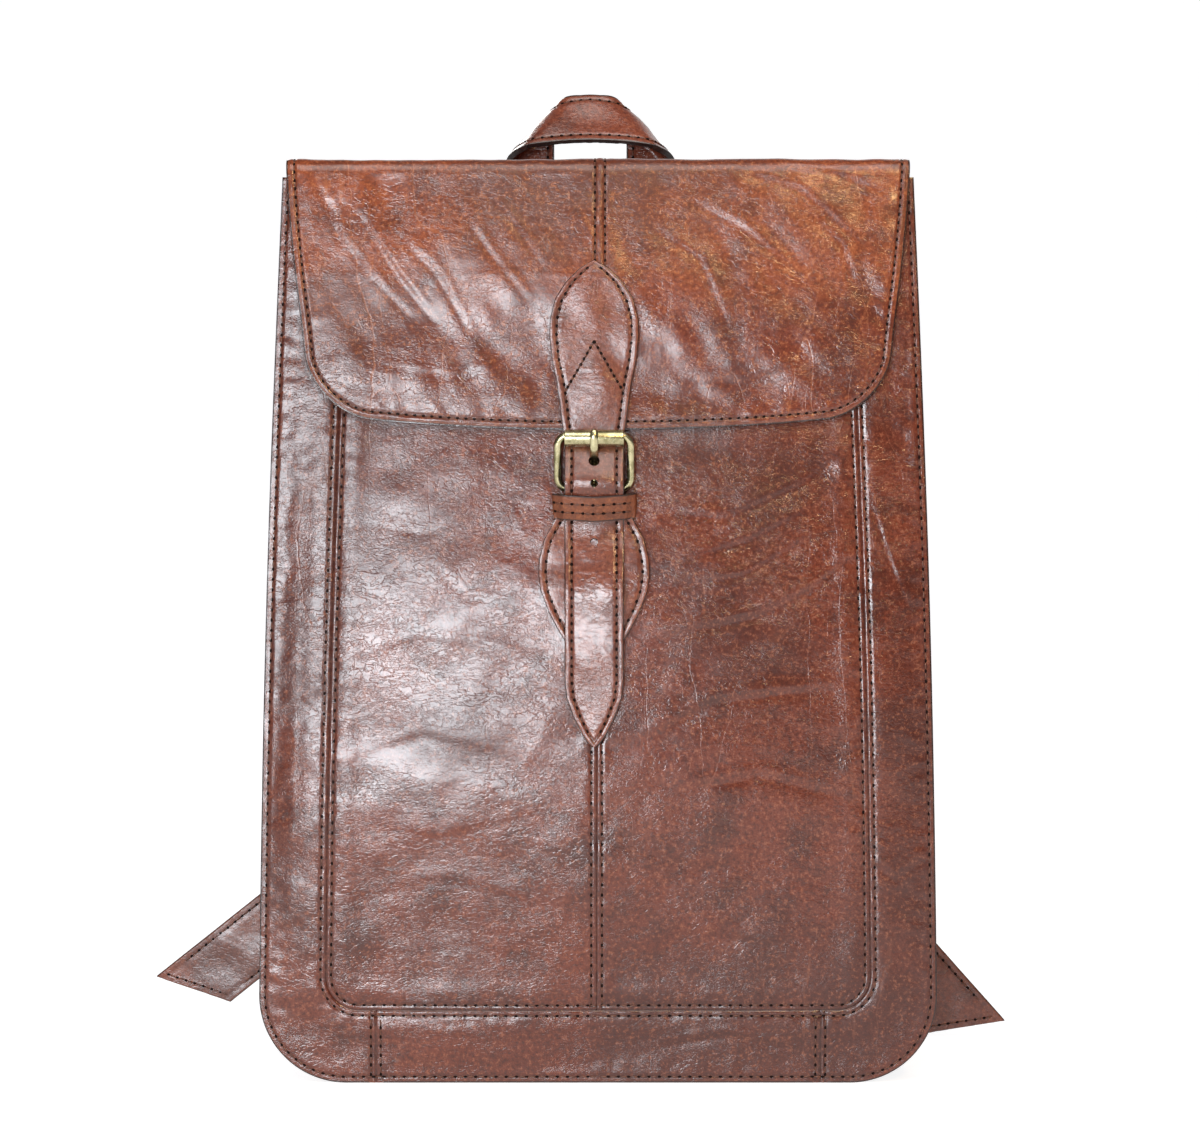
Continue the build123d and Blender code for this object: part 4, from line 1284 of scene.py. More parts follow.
# %% [markdown]
# ## Straps
#
# A strap is a ribbon: a line through space, a direction across it and a width that may change along
# it. A grid is laid along the line, its face a little crowned because the edges are pressed down by
# their stitches, and it gets the hide's thickness like every sheet. Padded or simulated cloth would be
# wrong here: bridle leather holds the curve that the buckle gives it.

# %% Helpers for ribbons
def rounded(points, radii, step=0.6):
    """A line through points with its corners rounded, as closely spaced points."""
    points = [np.asarray(point, float) for point in points]
    radii = list(radii) + [0.0] * (len(points) - 2 - len(radii))
    path = [points[0]]
    for before, corner, after, radius in zip(points, points[1:], points[2:], radii):
        back = (before - corner) / np.linalg.norm(before - corner)
        ahead = (after - corner) / np.linalg.norm(after - corner)
        half_turn = (pi - np.arccos(np.clip(back @ ahead, -1, 1))) / 2
        reach = radius * np.tan(half_turn)
        start, end = corner + back * reach, corner + ahead * reach
        count = max(2, int(2 * half_turn * radius / step) + 2)
        for share in np.linspace(0, 1, count):
            path.append((1 - share) ** 2 * start + 2 * share * (1 - share) * corner + share**2 * end)
    path.append(points[-1])
    dense = [path[0]]
    for a, b in zip(path, path[1:]):
        pieces = max(1, int(np.linalg.norm(b - a) / step))
        dense += [a + (b - a) * (i + 1) / pieces for i in range(pieces)]
    return np.array(dense)


def same_half(half):
    """The rule for a strap of one width."""
    return lambda distance: np.full_like(distance, half)


class Ribbon:
    """A strap's course: its line, its width and the directions across it and out of its face."""

    def __init__(self, path, across, half):
        keep = np.concatenate([[True], step_lengths(path) > 1e-6])
        self.path = path[keep]
        self.run = run_of(self.path)
        self.length = self.run[-1]
        along = unit_rows(np.gradient(self.path, self.run, axis=0))
        across = np.broadcast_to(np.asarray(across, float), path.shape)[keep]
        self.across = square_to(along, across)
        self.out = np.cross(along, self.across)
        self.half = half

    def at(self, rows, distance):
        """Rows that go with the line's points, such as its directions, at a distance along."""
        return read_along(distance, self.run, rows)

    def point(self, distance, offset, lift=0.0):
        """The point at a distance along, an offset across and a lift out of the face."""
        base = self.at(self.path, distance)
        side = self.at(self.across, distance) * np.asarray(offset)[..., None]
        return base + side + self.at(self.out, distance) * np.asarray(lift)[..., None]

    def row(self, inset, start=0.0, end=None, side=1, lift=0.0):
        """A stitch row an inset from one edge, and the directions out of the face along it."""
        distance = np.arange(start, self.length if end is None else end, 0.7)
        offset = side * (self.half(distance) - inset)
        return self.point(distance, offset, np.full_like(distance, lift)), self.at(self.out, distance)


def ribbon_sheet(name, ribbon, across, along, seed, groove=STRAP_ROW, crown=0.5, base=0.0, reach=None):
    """A leather ribbon's face: crowned, grooved along its stitch rows and softly uneven."""
    def place(u, v):
        half = ribbon.half(v * ribbon.length)
        offset = (2 * u - 1) * half
        end = ribbon.length if reach is None else reach(offset)
        distance = v * ribbon.length + (end - ribbon.length) * ease((v - 0.4) / 0.6)
        gap = half - np.abs(offset)
        lift = base + crown * (1 - (2 * u - 1) ** 2)
        soft = 0.16 * swell(offset, distance, 22, seed) + 0.07 * crumple(offset, distance, 9, seed + 1)
        lift = lift + soft + 0.07 * crumple(offset * 0.3, distance, 6, seed + 2, heading=pi / 2)
        if groove:
            lift = lift - 0.34 * hump(gap - groove, 0.6) + 0.12 * hump(gap - 1.0, 0.9)
        points = ribbon.point(distance, offset, lift)
        ends = np.minimum(distance, end - distance)
        sunk = [gap - groove] if groove else []
        return points[:, 0], points[:, 1], points[:, 2], rim_of(np.minimum(gap, ends + 0.5), 1.8, sunk)
    return grid_piece(name, across, along, place)


STRAP_HIDE = ("strap_leather", "cut_edge", "flesh_side")
BAND_HIDE = ("band_leather", "cut_edge", "flesh_side")


def finish_strap(piece, outward, nodes, body, slots=STRAP_HIDE, thickness=2.4, blend=None):
    """Turn a strap to look outward, thicken it and let it stand for its nodes."""
    look_outward(piece, outward)
    finish_sheet(piece, slots, thickness=thickness, round_off=0.6)
    if nodes:
        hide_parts(*nodes)
    if blend:
        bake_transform(piece)
    else:
        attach(piece, body)
    return piece


# %% [markdown]
# ## The closure strap
#
# The strap starts as a leaf sewn to the flap, narrows to a neck, goes behind the roller, through the
# frame, over the base bar and its prong, under a loop, and lies down the front to a pointed end.
# Its turns follow the same geometry as the buckle: each is an arc about a bar.

# %% The closure strap's course
BAR_RADIUS = 1.5
BAR_PITCH = 20.6
STRAP_THICK = 2.6
CLOSURE_HALF = 12.1
TAIL_TWIST = 0.085
roller_low, roller_high = box_mm("closure_roller")
frame_low, frame_high = box_mm("closure_buckle_frame")
ROLLER_Y = (roller_low.y + roller_high.y) / 2
ROLLER_Z = (roller_low.z + roller_high.z) / 2
BAR_Y = frame_high.y - BAR_RADIUS
BAR_Z = frame_low.z + BAR_RADIUS
HEAD_TIP_Z = strap_high.z
CLOSURE_TIP_Z = strap_low.z
FACE_Y = FLAP_FACE - STRAP_THICK
TAIL_FACE_Y = FRONT_Y - 2.3 - STRAP_THICK


def closure_half(distance):
    """Half the closure strap's width along its length, from the leaf's point to the strap's point."""
    places = [0, 1.2, 4, 9, 16, 24, 31, 40, 50, 58, 64, 74, CLOSURE_LENGTH - 27, CLOSURE_LENGTH - 20,
              CLOSURE_LENGTH - 12, CLOSURE_LENGTH - 5, CLOSURE_LENGTH - 1.5, CLOSURE_LENGTH]
    widths = [0.4, 2.8, 6.8, 11.8, 16.1, 18.1, 18.3, 17.4, 15.3, 14.2, 13.5, CLOSURE_HALF, CLOSURE_HALF,
              11.3, 8.4, 4.9, 2.4, 0.5]
    return np.interp(distance, places, widths)


def front_depth(x, z):
    """The front's depth under the strap at one place."""
    return float(on_front(np.array([float(x)]), np.array([float(z)]))[0])


closure_points = [
    (STRAP_X, FACE_Y - 0.3, HEAD_TIP_Z),
    (STRAP_X, FACE_Y - 0.5, ROLLER_Z + 16),
    (STRAP_X, FACE_Y + 0.1, ROLLER_Z + 1.5),
    (STRAP_X, BAR_Y - 8.6, BAR_Z + 1.0),
    (STRAP_X, TAIL_FACE_Y - 1.6, BAR_Z - 15),
    (STRAP_X, front_depth(STRAP_X, 205) - 2.2 - STRAP_THICK, 205),
    (STRAP_X, front_depth(STRAP_X, 172) - 0.8 - STRAP_THICK, 172),
    (STRAP_X, front_depth(STRAP_X, CLOSURE_TIP_Z) - STRAP_THICK + 0.1, CLOSURE_TIP_Z),
]
closure_path = rounded(closure_points, [30, 6, 9, 22, 60, 60])
CLOSURE_LENGTH = float(np.sum(step_lengths(closure_path)))
settled = ease((BAR_Z - 14 - closure_path[:, 2]) / 14)[:, None]
closure_path = closure_path - settled * (0, 0.9, 0)
closure = Ribbon(closure_path, np.array([1.0, 0, 0]) - settled * (0, TAIL_TWIST, 0), closure_half)
piece = ribbon_sheet("closure_strap_skin", closure, 40, 330, 101, crown=0.35)
finish_strap(piece, OUT_FRONT, ["closure_strap"], "flap_front")
print("closure strap", round(closure.length, 1), "mm long")

# %% [markdown]
# Holes are punched, not painted: a short peg is taken out of the strap by a Boolean modifier, so each
# hole has a round edge and shows its inked wall.

# %% Punch holes
def cut_away(piece, peg):
    """Cut a peg's shape out of a piece, leaving an inked wall, and delete the peg."""
    peg.data.materials.append(materials["cut_edge"])
    apply_modifier(piece, "BOOLEAN", operation="DIFFERENCE", object=peg, solver="EXACT",
                   material_mode="TRANSFER")
    bpy.data.objects.remove(peg, do_unlink=True)


def punch(piece, place, heading, radius=1.55, depth=12):
    """Punch a round hole through a piece at a place, along a heading."""
    clear_selection()
    turn = Vector(heading).to_track_quat("Z", "Y").to_euler()
    bpy.ops.mesh.primitive_cylinder_add(vertices=20, radius=radius * MM, depth=depth * MM,
                                        location=tuple(c * MM for c in place), rotation=turn)
    peg = bpy.context.object
    bpy.ops.object.transform_apply(location=True, rotation=True, scale=False)
    cut_away(piece, peg)


HOLE_PLACES = (BAR_Z + 10.6, BAR_Z + 1.6, BAR_Z - 22.4)
for height, radius in zip(HOLE_PLACES, (2.3, 1.6, 1.6)):
    distance = np.interp(-height, -closure.path[:, 2], closure.run)
    spot = closure.point(np.array([distance]), np.array([0.0]), np.array([-1.0]))[0]
    out = closure.at(closure.out, np.array([distance]))[0]
    punch(piece, spot, out, radius)
print("holes punched")

# %% Sew the closure strap
for side in (-1, 1):
    rows = closure.row(STRAP_ROW, start=3.2, end=closure.length - 3.4, side=side, lift=0.05)
    sew("flap_front", *rows, pitch=FINE_PITCH)
head_out = closure.at(closure.out, np.array([40.0]))[0]
for side in (-1, 1):
    arm = np.linspace(0, 1, 30)
    distance = mix(33.5, 54.3, arm)
    offset = side * mix(0.2, 12.2, arm)
    sew("flap_front", closure.point(distance, offset, np.full_like(arm, 0.35)), head_out, pitch=2.6)
finish_thread("closure_thread", "flap_front")

# %% [markdown]
# ## The chape leaf and the keeper
#
# Under the strap a leaf-shaped piece is sewn to the front. It holds the buckle's base bar in its folded
# top. The keeper is a narrow band with two rows of stitches, sewn down at both sides of the strap.

# %% The chape leaf
LEAF_TIP_Z = box_mm("chape_leaf")[0].z
LEAF_FACE = 2.2


def leaf_half(distance):
    """Half the leaf's width down from the base bar."""
    places = [0, 6, 10, 15, 22, 30, 36, 43, 52, 60, 68, 74, LEAF_LENGTH - 1, LEAF_LENGTH]
    widths = [11.6, 11.9, 13.4, 16.6, 20.4, 22.4, 22.8, 22.0, 18.6, 14.4, 9.4, 4.6, 1.2, 0.4]
    return np.interp(distance, places, widths)


leaf_points = [(STRAP_X, BAR_Y - 3.3, BAR_Z + 0.8), (STRAP_X, BAR_Y - 3.1, BAR_Z - 3)]
leaf_points += [(STRAP_X, front_depth(STRAP_X, z) - LEAF_FACE, z)
                for z in (BAR_Z - 15, 215, 195, LEAF_TIP_Z)]
leaf_path = rounded(leaf_points, [3, 8, 40, 60])
LEAF_LENGTH = float(np.sum(step_lengths(leaf_path)))
leaf = Ribbon(leaf_path, (1, 0, 0), leaf_half)
piece = ribbon_sheet("chape_leaf_skin", leaf, 44, 110, 111, crown=0.2)
finish_strap(piece, OUT_FRONT, [], "bag", thickness=1.9)
punch(piece, (STRAP_X, BAR_Y - 3.3, BAR_Z - 0.5), OUT_FRONT, radius=2.5, depth=5)
for side in (-1, 1):
    sew("bag_small", *leaf.row(STRAP_ROW, start=12, end=leaf.length - 4, side=side, lift=0.05))


def bar_wrap(u, v):
    """The leaf's top, wrapped round the base bar from front to back."""
    turn = mix(0.9 * pi, 2.55 * pi, v)
    radius = BAR_RADIUS + 0.15 + 1.5
    x = STRAP_X + (2 * u - 1) * 11.6
    return x, BAR_Y + radius * np.cos(turn), BAR_Z + radius * np.sin(turn), 0.3


piece = grid_piece("chape_wrap_skin", 24, 40, bar_wrap)
first = piece.data.polygons[0]
look_outward(piece, first.center - Vector((first.center.x, BAR_Y * MM, BAR_Z * MM)), [first])
finish_sheet(piece, STRAP_HIDE, thickness=1.5, round_off=0.4)
for heading in (OUT_FRONT, (0, 0, 1)):
    punch(piece, (STRAP_X, BAR_Y - 2.5, BAR_Z + 2.0), heading, radius=2.3, depth=7)
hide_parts("chape_leaf")
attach(piece, "bag")

# %% The keeper
KEEPER_HALF = 5.3
KEEPER_Z = 236.3
KEEPER_SIDE = 16.7
strap_face = closure.path[np.argmin(np.abs(closure.path[:, 2] - KEEPER_Z))]
keeper_top = strap_face[1] - 1.9
keeper_points = [
    (STRAP_X - KEEPER_SIDE - 0.3, front_depth(STRAP_X - 17, KEEPER_Z) - 2.0, KEEPER_Z + 0.9),
    (STRAP_X - KEEPER_SIDE, keeper_top + 3.6, KEEPER_Z + 0.9),
    (STRAP_X - KEEPER_SIDE + 4.2, keeper_top - 0.2, KEEPER_Z + 0.3),
    (STRAP_X, keeper_top - 0.6, KEEPER_Z - 0.5),
    (STRAP_X + KEEPER_SIDE - 4.2, keeper_top - 0.2, KEEPER_Z + 0.4),
    (STRAP_X + KEEPER_SIDE, keeper_top + 3.6, KEEPER_Z + 1.1),
    (STRAP_X + KEEPER_SIDE + 0.3, front_depth(STRAP_X + 17, KEEPER_Z) - 2.0, KEEPER_Z + 1.1),
]
keeper_path = rounded(keeper_points, [2.5, 2.5, 30, 2.5, 2.5], step=0.4)
keeper = Ribbon(keeper_path, (0, -0.35, 0.94), same_half(KEEPER_HALF))
piece = ribbon_sheet("keeper_skin", keeper, 22, 110, 121, groove=0, crown=0.25)
finish_strap(piece, OUT_FRONT, ["closure_keeper"], "bag", slots=BAND_HIDE, thickness=1.5)
for side in (-1, 1):
    sew("bag_small", *keeper.row(3.45, start=3, end=keeper.length - 3, side=side, lift=0.3), sunk=0.2)
finish_thread("closure_base_thread", "bag_small", body="bag")

# %% [markdown]
# ## Buckles
#
# A roller buckle is a ring of brass rod with a tube that turns on its top bar and a prong that turns on
# its base bar. The frame is one round rod bent to a rectangle with soft corners, so it is swept along a
# closed curve. The roller is a tube with rolled ends, and the prong a flat pin with an eye.
# All the buckles are the same, so each part has one recipe and is placed by a plane.

# %% Helpers for the buckles
def select_parts(piece, kind, wanted):
    """Select the faces or edges of a piece that pass a test, and stay in edit mode."""
    make_active(piece)
    bpy.ops.object.mode_set(mode="EDIT")
    bpy.ops.mesh.select_mode(type=kind)
    bpy.ops.mesh.select_all(action="DESELECT")
    bpy.ops.object.mode_set(mode="OBJECT")
    for part in piece.data.polygons if kind == "FACE" else piece.data.edges:
        part.select = wanted(part)
    bpy.ops.object.mode_set(mode="EDIT")


def plane_of(origin, x_dir, z_dir):
    """The rows that turn buckle coordinates into the bag's: across, outward and up."""
    across = np.asarray(x_dir, float) / np.linalg.norm(x_dir)
    up = np.asarray(z_dir, float) / np.linalg.norm(z_dir)
    inward = np.cross(up, across)
    return np.asarray(origin, float), np.stack([across, inward, up])


def put(piece, plane):
    """Move a piece's points from buckle coordinates, in millimetres, to the bag's."""
    origin, rows = plane
    points = (origin + read_points(piece) @ rows) * MM
    piece.data.vertices.foreach_set("co", points.ravel())
    piece.data.update()
    edit_all(piece, (bpy.ops.mesh.normals_make_consistent, {"inside": False}))


def finish_metal(piece, plane, node, body):
    """Place a brass part, smooth it and let it stand for its node."""
    put(piece, plane)
    bpy.ops.object.shade_smooth_by_angle(angle=radians(40))
    piece.data.materials.clear()
    piece.data.materials.append(materials["antique_brass"])
    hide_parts(node)
    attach(piece, body)
    print(piece.name, len(piece.data.vertices), "points")


FRAME_CORNER = 4.6
FRAME_SPARE = 2.7


def buckle_frame(name, width):
    """The frame: a round bar swept round a rectangle with soft corners."""
    out = width / 2 + FRAME_SPARE - FRAME_CORNER
    high, low = BAR_PITCH - FRAME_CORNER + 1.2, FRAME_CORNER - 0.4
    ring = []
    for quarter, (x, z) in enumerate([(out, high), (-out, high), (-out, low), (out, low)]):
        for share in np.linspace(0, pi / 2, 9):
            turn = quarter * pi / 2 + share
            ring.append((x + FRAME_CORNER * cos(turn), 0.0, z + FRAME_CORNER * sin(turn)))
    curve = bpy.data.curves.new(name, "CURVE")
    curve.dimensions = "3D"
    curve.bevel_depth = BAR_RADIUS + 0.1
    curve.bevel_resolution = 5
    spline = curve.splines.new("POLY")
    spline.points.add(len(ring) - 1)
    spline.points.foreach_set("co", [value for point in ring for value in (*point, 1.0)])
    spline.use_cyclic_u = True
    rod = bpy.data.objects.new(name, curve)
    bpy.context.collection.objects.link(rod)
    make_active(rod)
    bpy.ops.object.convert(target="MESH")
    return bpy.context.object


ROLLER_RADIUS = 3.5


def buckle_roller(name, width):
    """The roller: a tube with inset, bevelled ends on the top bar."""
    clear_selection()
    bpy.ops.mesh.primitive_cylinder_add(vertices=40, radius=ROLLER_RADIUS, depth=width - 0.3,
                                        end_fill_type="NGON")
    roller = bpy.context.object
    roller.name = name
    select_parts(roller, "FACE", lambda face: len(face.vertices) > 4)
    bpy.ops.mesh.inset(thickness=1.55, depth=0)
    bpy.ops.mesh.bridge_edge_loops()
    bpy.ops.mesh.select_mode(type="EDGE")
    bpy.ops.mesh.select_all(action="SELECT")
    bpy.ops.mesh.edges_select_sharp(sharpness=radians(50))
    bpy.ops.mesh.bevel(offset=0.35, segments=3)
    bpy.ops.object.mode_set(mode="OBJECT")
    bpy.ops.object.select_all(action="DESELECT")
    roller.select_set(True)
    turned = read_points(roller)[:, [2, 1, 0]]
    turned[:, 2] += BAR_PITCH
    roller.data.vertices.foreach_set("co", turned.ravel())
    return roller


PRONG_COURSE = [(1.0, 1.4), (2.2, 8.0), (-4.6, 17.2), (-4.65, 22.0), (-3.3, 25.0)]
PRONG_RINGS = 60


def buckle_prong(name):
    """The prong: a flat pin from an eye on the base bar, through the strap and over the roller."""
    side = rounded(PRONG_COURSE, [3, 3.2, 3], step=0.7)
    run = run_of(side)
    along = unit_rows(np.gradient(side, run, axis=0))
    out = np.stack([-along[:, 1], along[:, 0]], axis=1)
    clear_selection()
    bpy.ops.mesh.primitive_cylinder_add(vertices=16, radius=1, depth=1, end_fill_type="TRIFAN")
    prong = bpy.context.object
    prong.name = name
    bpy.ops.object.mode_set(mode="EDIT")
    bpy.ops.mesh.select_all(action="SELECT")
    for height in np.linspace(-0.5, 0.5, PRONG_RINGS)[1:-1]:
        bpy.ops.mesh.bisect(plane_co=(0, 0, height), plane_no=(0, 0, 1))
        bpy.ops.mesh.select_all(action="SELECT")
    bpy.ops.object.mode_set(mode="OBJECT")
    points = read_points(prong)
    share = points[:, 2] + 0.5
    distance = share * run[-1]
    middle, away = read_along(distance, run, side).T, read_along(distance, run, out).T
    end = np.sqrt(np.clip(1 - ((share - 0.93) / 0.07).clip(0, 1) ** 2, 0.02, 1))
    wide = mix(1.9, 1.6, share) * end
    thick = mix(1.15, 0.85, share) * end
    px = points[:, 0] * wide
    py = middle[0] + away[0] * points[:, 1] * thick
    pz = middle[1] + away[1] * points[:, 1] * thick
    prong.data.vertices.foreach_set("co", np.stack([px, py, pz], axis=1).ravel())
    clear_selection()
    bpy.ops.mesh.primitive_torus_add(major_segments=32, minor_segments=14, major_radius=2.2,
                                     minor_radius=0.68, rotation=(0, pi / 2, 0))
    bpy.ops.object.transform_apply(location=False, rotation=True, scale=False)
    eye = bpy.context.object
    eye_points = read_points(eye) * (1.75, 1, 1)
    eye.data.vertices.foreach_set("co", eye_points.ravel())
    prong.select_set(True)
    bpy.context.view_layer.objects.active = prong
    bpy.ops.object.join()
    return prong


def make_buckle(label, plane, width, nodes, bodies):
    """A whole buckle: frame, roller and prong."""
    finish_metal(buckle_frame(f"{label}_frame_brass", width), plane, nodes[0], bodies[0])
    finish_metal(buckle_roller(f"{label}_roller_brass", width), plane, nodes[1], bodies[1])
    finish_metal(buckle_prong(f"{label}_prong_brass"), plane, nodes[2], bodies[2])


# %% The closure's buckle
lean = asin((BAR_Y - ROLLER_Y) / BAR_PITCH)
closure_plane = plane_of((STRAP_X, BAR_Y, BAR_Z), (1, 0, 0), (0, -sin(lean), cos(lean)))
CLOSURE_WIDTH = 24.6
make_buckle("closure", closure_plane, CLOSURE_WIDTH,
            ("closure_buckle_frame", "closure_roller", "closure_prong"),
            ("closure_buckle", "closure_roller", "closure_prong"))

# %% [markdown]
# ## The carrying handle
#
# The handle is one flat strap sewn flat to the back at both ends. To come back down on itself it folds
# over at each side along a line at 45 degrees, as a ribbon does, and the middle leans forward.
# Leather doesn't stretch, so the fold is worked out as one: the strap is laid flat, and what lies past
# each fold line is rolled round a small cylinder along that line, which keeps every length. A bent box
# would show the wrong outline. The strap's lower ends stay on the bag.

# %% The handle's fold
handle_high = box_mm("handle")[1]
roots_low, roots_high = box_mm("handle_roots")
HANDLE_HALF = 12.0
HANDLE_SHIFT = -3.5
LEG_X = handle_high.x - HANDLE_HALF - 0.9
FOLD_ROLL = 5.2
ROOT_2 = 2**0.5
FOLD_X = LEG_X - pi * FOLD_ROLL / ROOT_2
BAR_HEIGHT = handle_high.z - 18.0
HANDLE_TILT = radians(36)
LEG_Y = BACK_Y + 1.3
HANDLE_REACH = FOLD_X + pi * FOLD_ROLL / ROOT_2 + BAR_HEIGHT - roots_low.z
HANDLE_FACE = 1.25


def handle_point(a, b, lift):
    """The point of the handle at a along from its middle and b across, lifted from its face."""
    side = np.sign(a) + (a == 0)
    past = (np.abs(a) - FOLD_X + b) / ROOT_2
    along_line = (b - np.abs(a) + FOLD_X) / ROOT_2
    turn = np.clip(past / FOLD_ROLL, 0, pi)
    rolled = np.where(past > 0, FOLD_ROLL * np.sin(turn), past)
    rolled = np.where(past > pi * FOLD_ROLL, pi * FOLD_ROLL - past, rolled)
    depth = FOLD_ROLL * (1 - np.cos(turn))
    rolled = rolled + lift * np.sin(turn)
    depth = depth - lift * np.cos(turn)
    x = FOLD_X + (rolled - along_line) / ROOT_2
    x = x - 0.14 * np.maximum(x - 26, 0)
    up = (rolled + along_line) / ROOT_2
    y = LEG_Y - 2 * FOLD_ROLL + depth
    free = 1 - ease(past / (FOLD_ROLL * 2.6) + 0.1)
    bow = 3.0 * (1 - np.clip(a / 32, -1, 1) ** 2) * free
    bow = bow + 2.6 * (1 - np.clip(a / 15, -1, 1) ** 2) * ease((b + 4) / 16)
    tilt = HANDLE_TILT * free
    y = y - 3.0 * free + up * np.sin(tilt)
    above_roots = BAR_HEIGHT + up - roots_high.z
    y = y - 2.4 * np.sin(np.clip(above_roots / 46, 0, 1) * pi) * (past > 0) * ease(above_roots / 22)
    return side * x + HANDLE_SHIFT, y, BAR_HEIGHT + up * np.cos(tilt) + bow


def handle_sheet(u, v):
    """The rule for the handle's grain face, crowned and grooved like every strap."""
    a = (2 * v - 1) * HANDLE_REACH
    b = (2 * u - 1) * HANDLE_HALF
    gap = HANDLE_HALF - np.abs(b)
    lift = 1.2 + 0.35 * (1 - (b / HANDLE_HALF) ** 2) + 0.15 * swell(a, b, 20, 131)
    lift = lift + 0.08 * crumple(a, b, 9, 133)
    lift = lift - 0.34 * hump(gap - STRAP_ROW, 0.6) + 0.1 * hump(gap - 1, 0.8)
    x, y, z = handle_point(a, b, lift)
    return x, y, z, rim_of(gap, 2.6, [gap - STRAP_ROW])


DOUBLED = ("strap_leather", "cut_edge", "strap_leather")
piece = grid_piece("handle_skin", 34, 420, handle_sheet)
middle_faces = [face for face in piece.data.polygons
                if abs(face.center.x) < 0.01 and face.center.z > (BAR_HEIGHT - 12) * MM]
look_outward(piece, OUT_FRONT, middle_faces)
finish_sheet(piece, DOUBLED, thickness=2.5, round_off=0.6)
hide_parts("handle", "handle_roots")
HANDLE_BEND = (Vector((0, LEG_Y, roots_high.z - 3)) * MM, Vector((0, LEG_Y, roots_high.z + 6)) * MM)
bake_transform(piece)
for side in (-1, 1):
    a = np.linspace(-HANDLE_REACH + 24, HANDLE_REACH - 24, 420)
    b = np.full_like(a, side * (HANDLE_HALF - STRAP_ROW))
    lifts = (HANDLE_FACE, HANDLE_FACE + 1, -HANDLE_FACE - 0.2)
    face, over, under = (np.stack(handle_point(a, b, np.full_like(a, lift)), axis=1) for lift in lifts)
    sew("handle", face, over - face)
    sew("handle", under, under - face)
finish_thread("handle_thread", "handle", blend=("bag", "handle", *HANDLE_BEND))

# %% [markdown]
# ## The yoke
#
# A rounded patch is sewn over the ends of the handle and of the shoulder straps. It lies on the back at
# its edge and rises over what it covers, which shows the straps' ends through it.

# %% The yoke
yoke_low, yoke_high = box_mm("back_yoke")
YOKE_ROUND = 12.0
YOKE_HALF = yoke_high.x
YOKE_RISE = 2.9
YOKE_FACE = 2.25
joints = {joint["name"]: joint for joint in frame["joints"]}
STRAP_TOP_X, STRAP_TOP_Y, STRAP_TOP_Z = (value / MM for value in joints["strap_swing_right"]["pos_m"])


def yoke_half(z):
    """Half the yoke's width at a height."""
    from_end = np.minimum(z - yoke_low.z, yoke_high.z - z)
    short = np.clip(YOKE_ROUND - from_end, 0, YOKE_ROUND)
    return YOKE_HALF - YOKE_ROUND + np.sqrt(np.maximum(YOKE_ROUND**2 - short**2, 0))


def yoke_gap(x, z):
    """How far inside the yoke's edge a point is."""
    side = YOKE_HALF - np.abs(x)
    end = np.minimum(z - yoke_low.z, yoke_high.z - z)
    corner = YOKE_ROUND - np.hypot(np.maximum(YOKE_ROUND - side, 0), np.maximum(YOKE_ROUND - end, 0))
    return np.where((side < YOKE_ROUND) & (end < YOKE_ROUND), corner, np.minimum(side, end))


def on_yoke(x, z):
    """Depth of the yoke's face."""
    gap = yoke_gap(x, z)
    legs = ease((HANDLE_HALF + 4.5 - np.abs(np.abs(x - HANDLE_SHIFT) - LEG_X)) / 4.5)
    root_x = STRAP_TOP_X - 0.38 * (z - STRAP_TOP_Z)
    roots = ease((20 - np.abs(np.abs(x) - root_x)) / 5) * ease((yoke_low.z + 17 - z) / 8)
    covered = np.maximum(legs * ease((z - roots_low.z + 4) / 5), roots)
    rise = YOKE_RISE * covered * ease(gap / 2.5)
    at_top = YOKE_RISE * legs * ease((z - yoke_high.z + 6) / 4)
    soft = 0.16 * swell(x, z, 24, 141) + 0.07 * crumple(x, z, 10, 143)
    groove = -0.32 * hump(gap - STRAP_ROW, 0.65)
    return BACK_Y + YOKE_FACE + np.maximum(rise, at_top) + soft * ease(gap / 3) + groove


def yoke(u, v):
    """The rule for the yoke, its rows closer together at the rounded ends."""
    z = mix(yoke_low.z, yoke_high.z, (1 - np.cos(v * pi)) / 2)
    x = (2 * u - 1) * yoke_half(z)
    return x, on_yoke(x, z), z, rim_of(yoke_gap(x, z), 2.6, [yoke_gap(x, z) - STRAP_ROW])


piece = grid_piece("back_yoke_skin", 130, 60, yoke, OUT_BACK)
finish_sheet(piece, STRAP_HIDE, thickness=1.9)
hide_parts("back_yoke")
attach(piece, "bag")


def sew_on_yoke(x, z):
    """A stitch row on the yoke."""
    sew("yoke", np.stack([x, on_yoke(x, z), z], axis=1), OUT_BACK)


turns = np.linspace(0, 2 * pi, 400)
ROW_ROUND = YOKE_ROUND - STRAP_ROW
round_x = np.sign(np.cos(turns)) * (YOKE_HALF - YOKE_ROUND) + ROW_ROUND * np.cos(turns)
half_height = (yoke_high.z - yoke_low.z) / 2
round_z = (yoke_high.z + yoke_low.z) / 2 + np.sign(np.sin(turns)) * (half_height - YOKE_ROUND)
round_z = round_z + ROW_ROUND * np.sin(turns)
sew_on_yoke(round_x, round_z)
for side in (-1, 1):
    left, right = HANDLE_SHIFT + side * LEG_X - 8, HANDLE_SHIFT + side * LEG_X + 8
    low, high = roots_low.z + 3, roots_high.z - 6
    corners = [(left, low), (right, low), (right, high), (left, high), (left, low)]
    for (x, z), (next_x, next_z) in zip(corners, corners[1:]):
        share = np.linspace(0, 1, 20)
        sew_on_yoke(mix(x, next_x, share), mix(z, next_z, share))
finish_thread("yoke_thread", "yoke", body="bag")
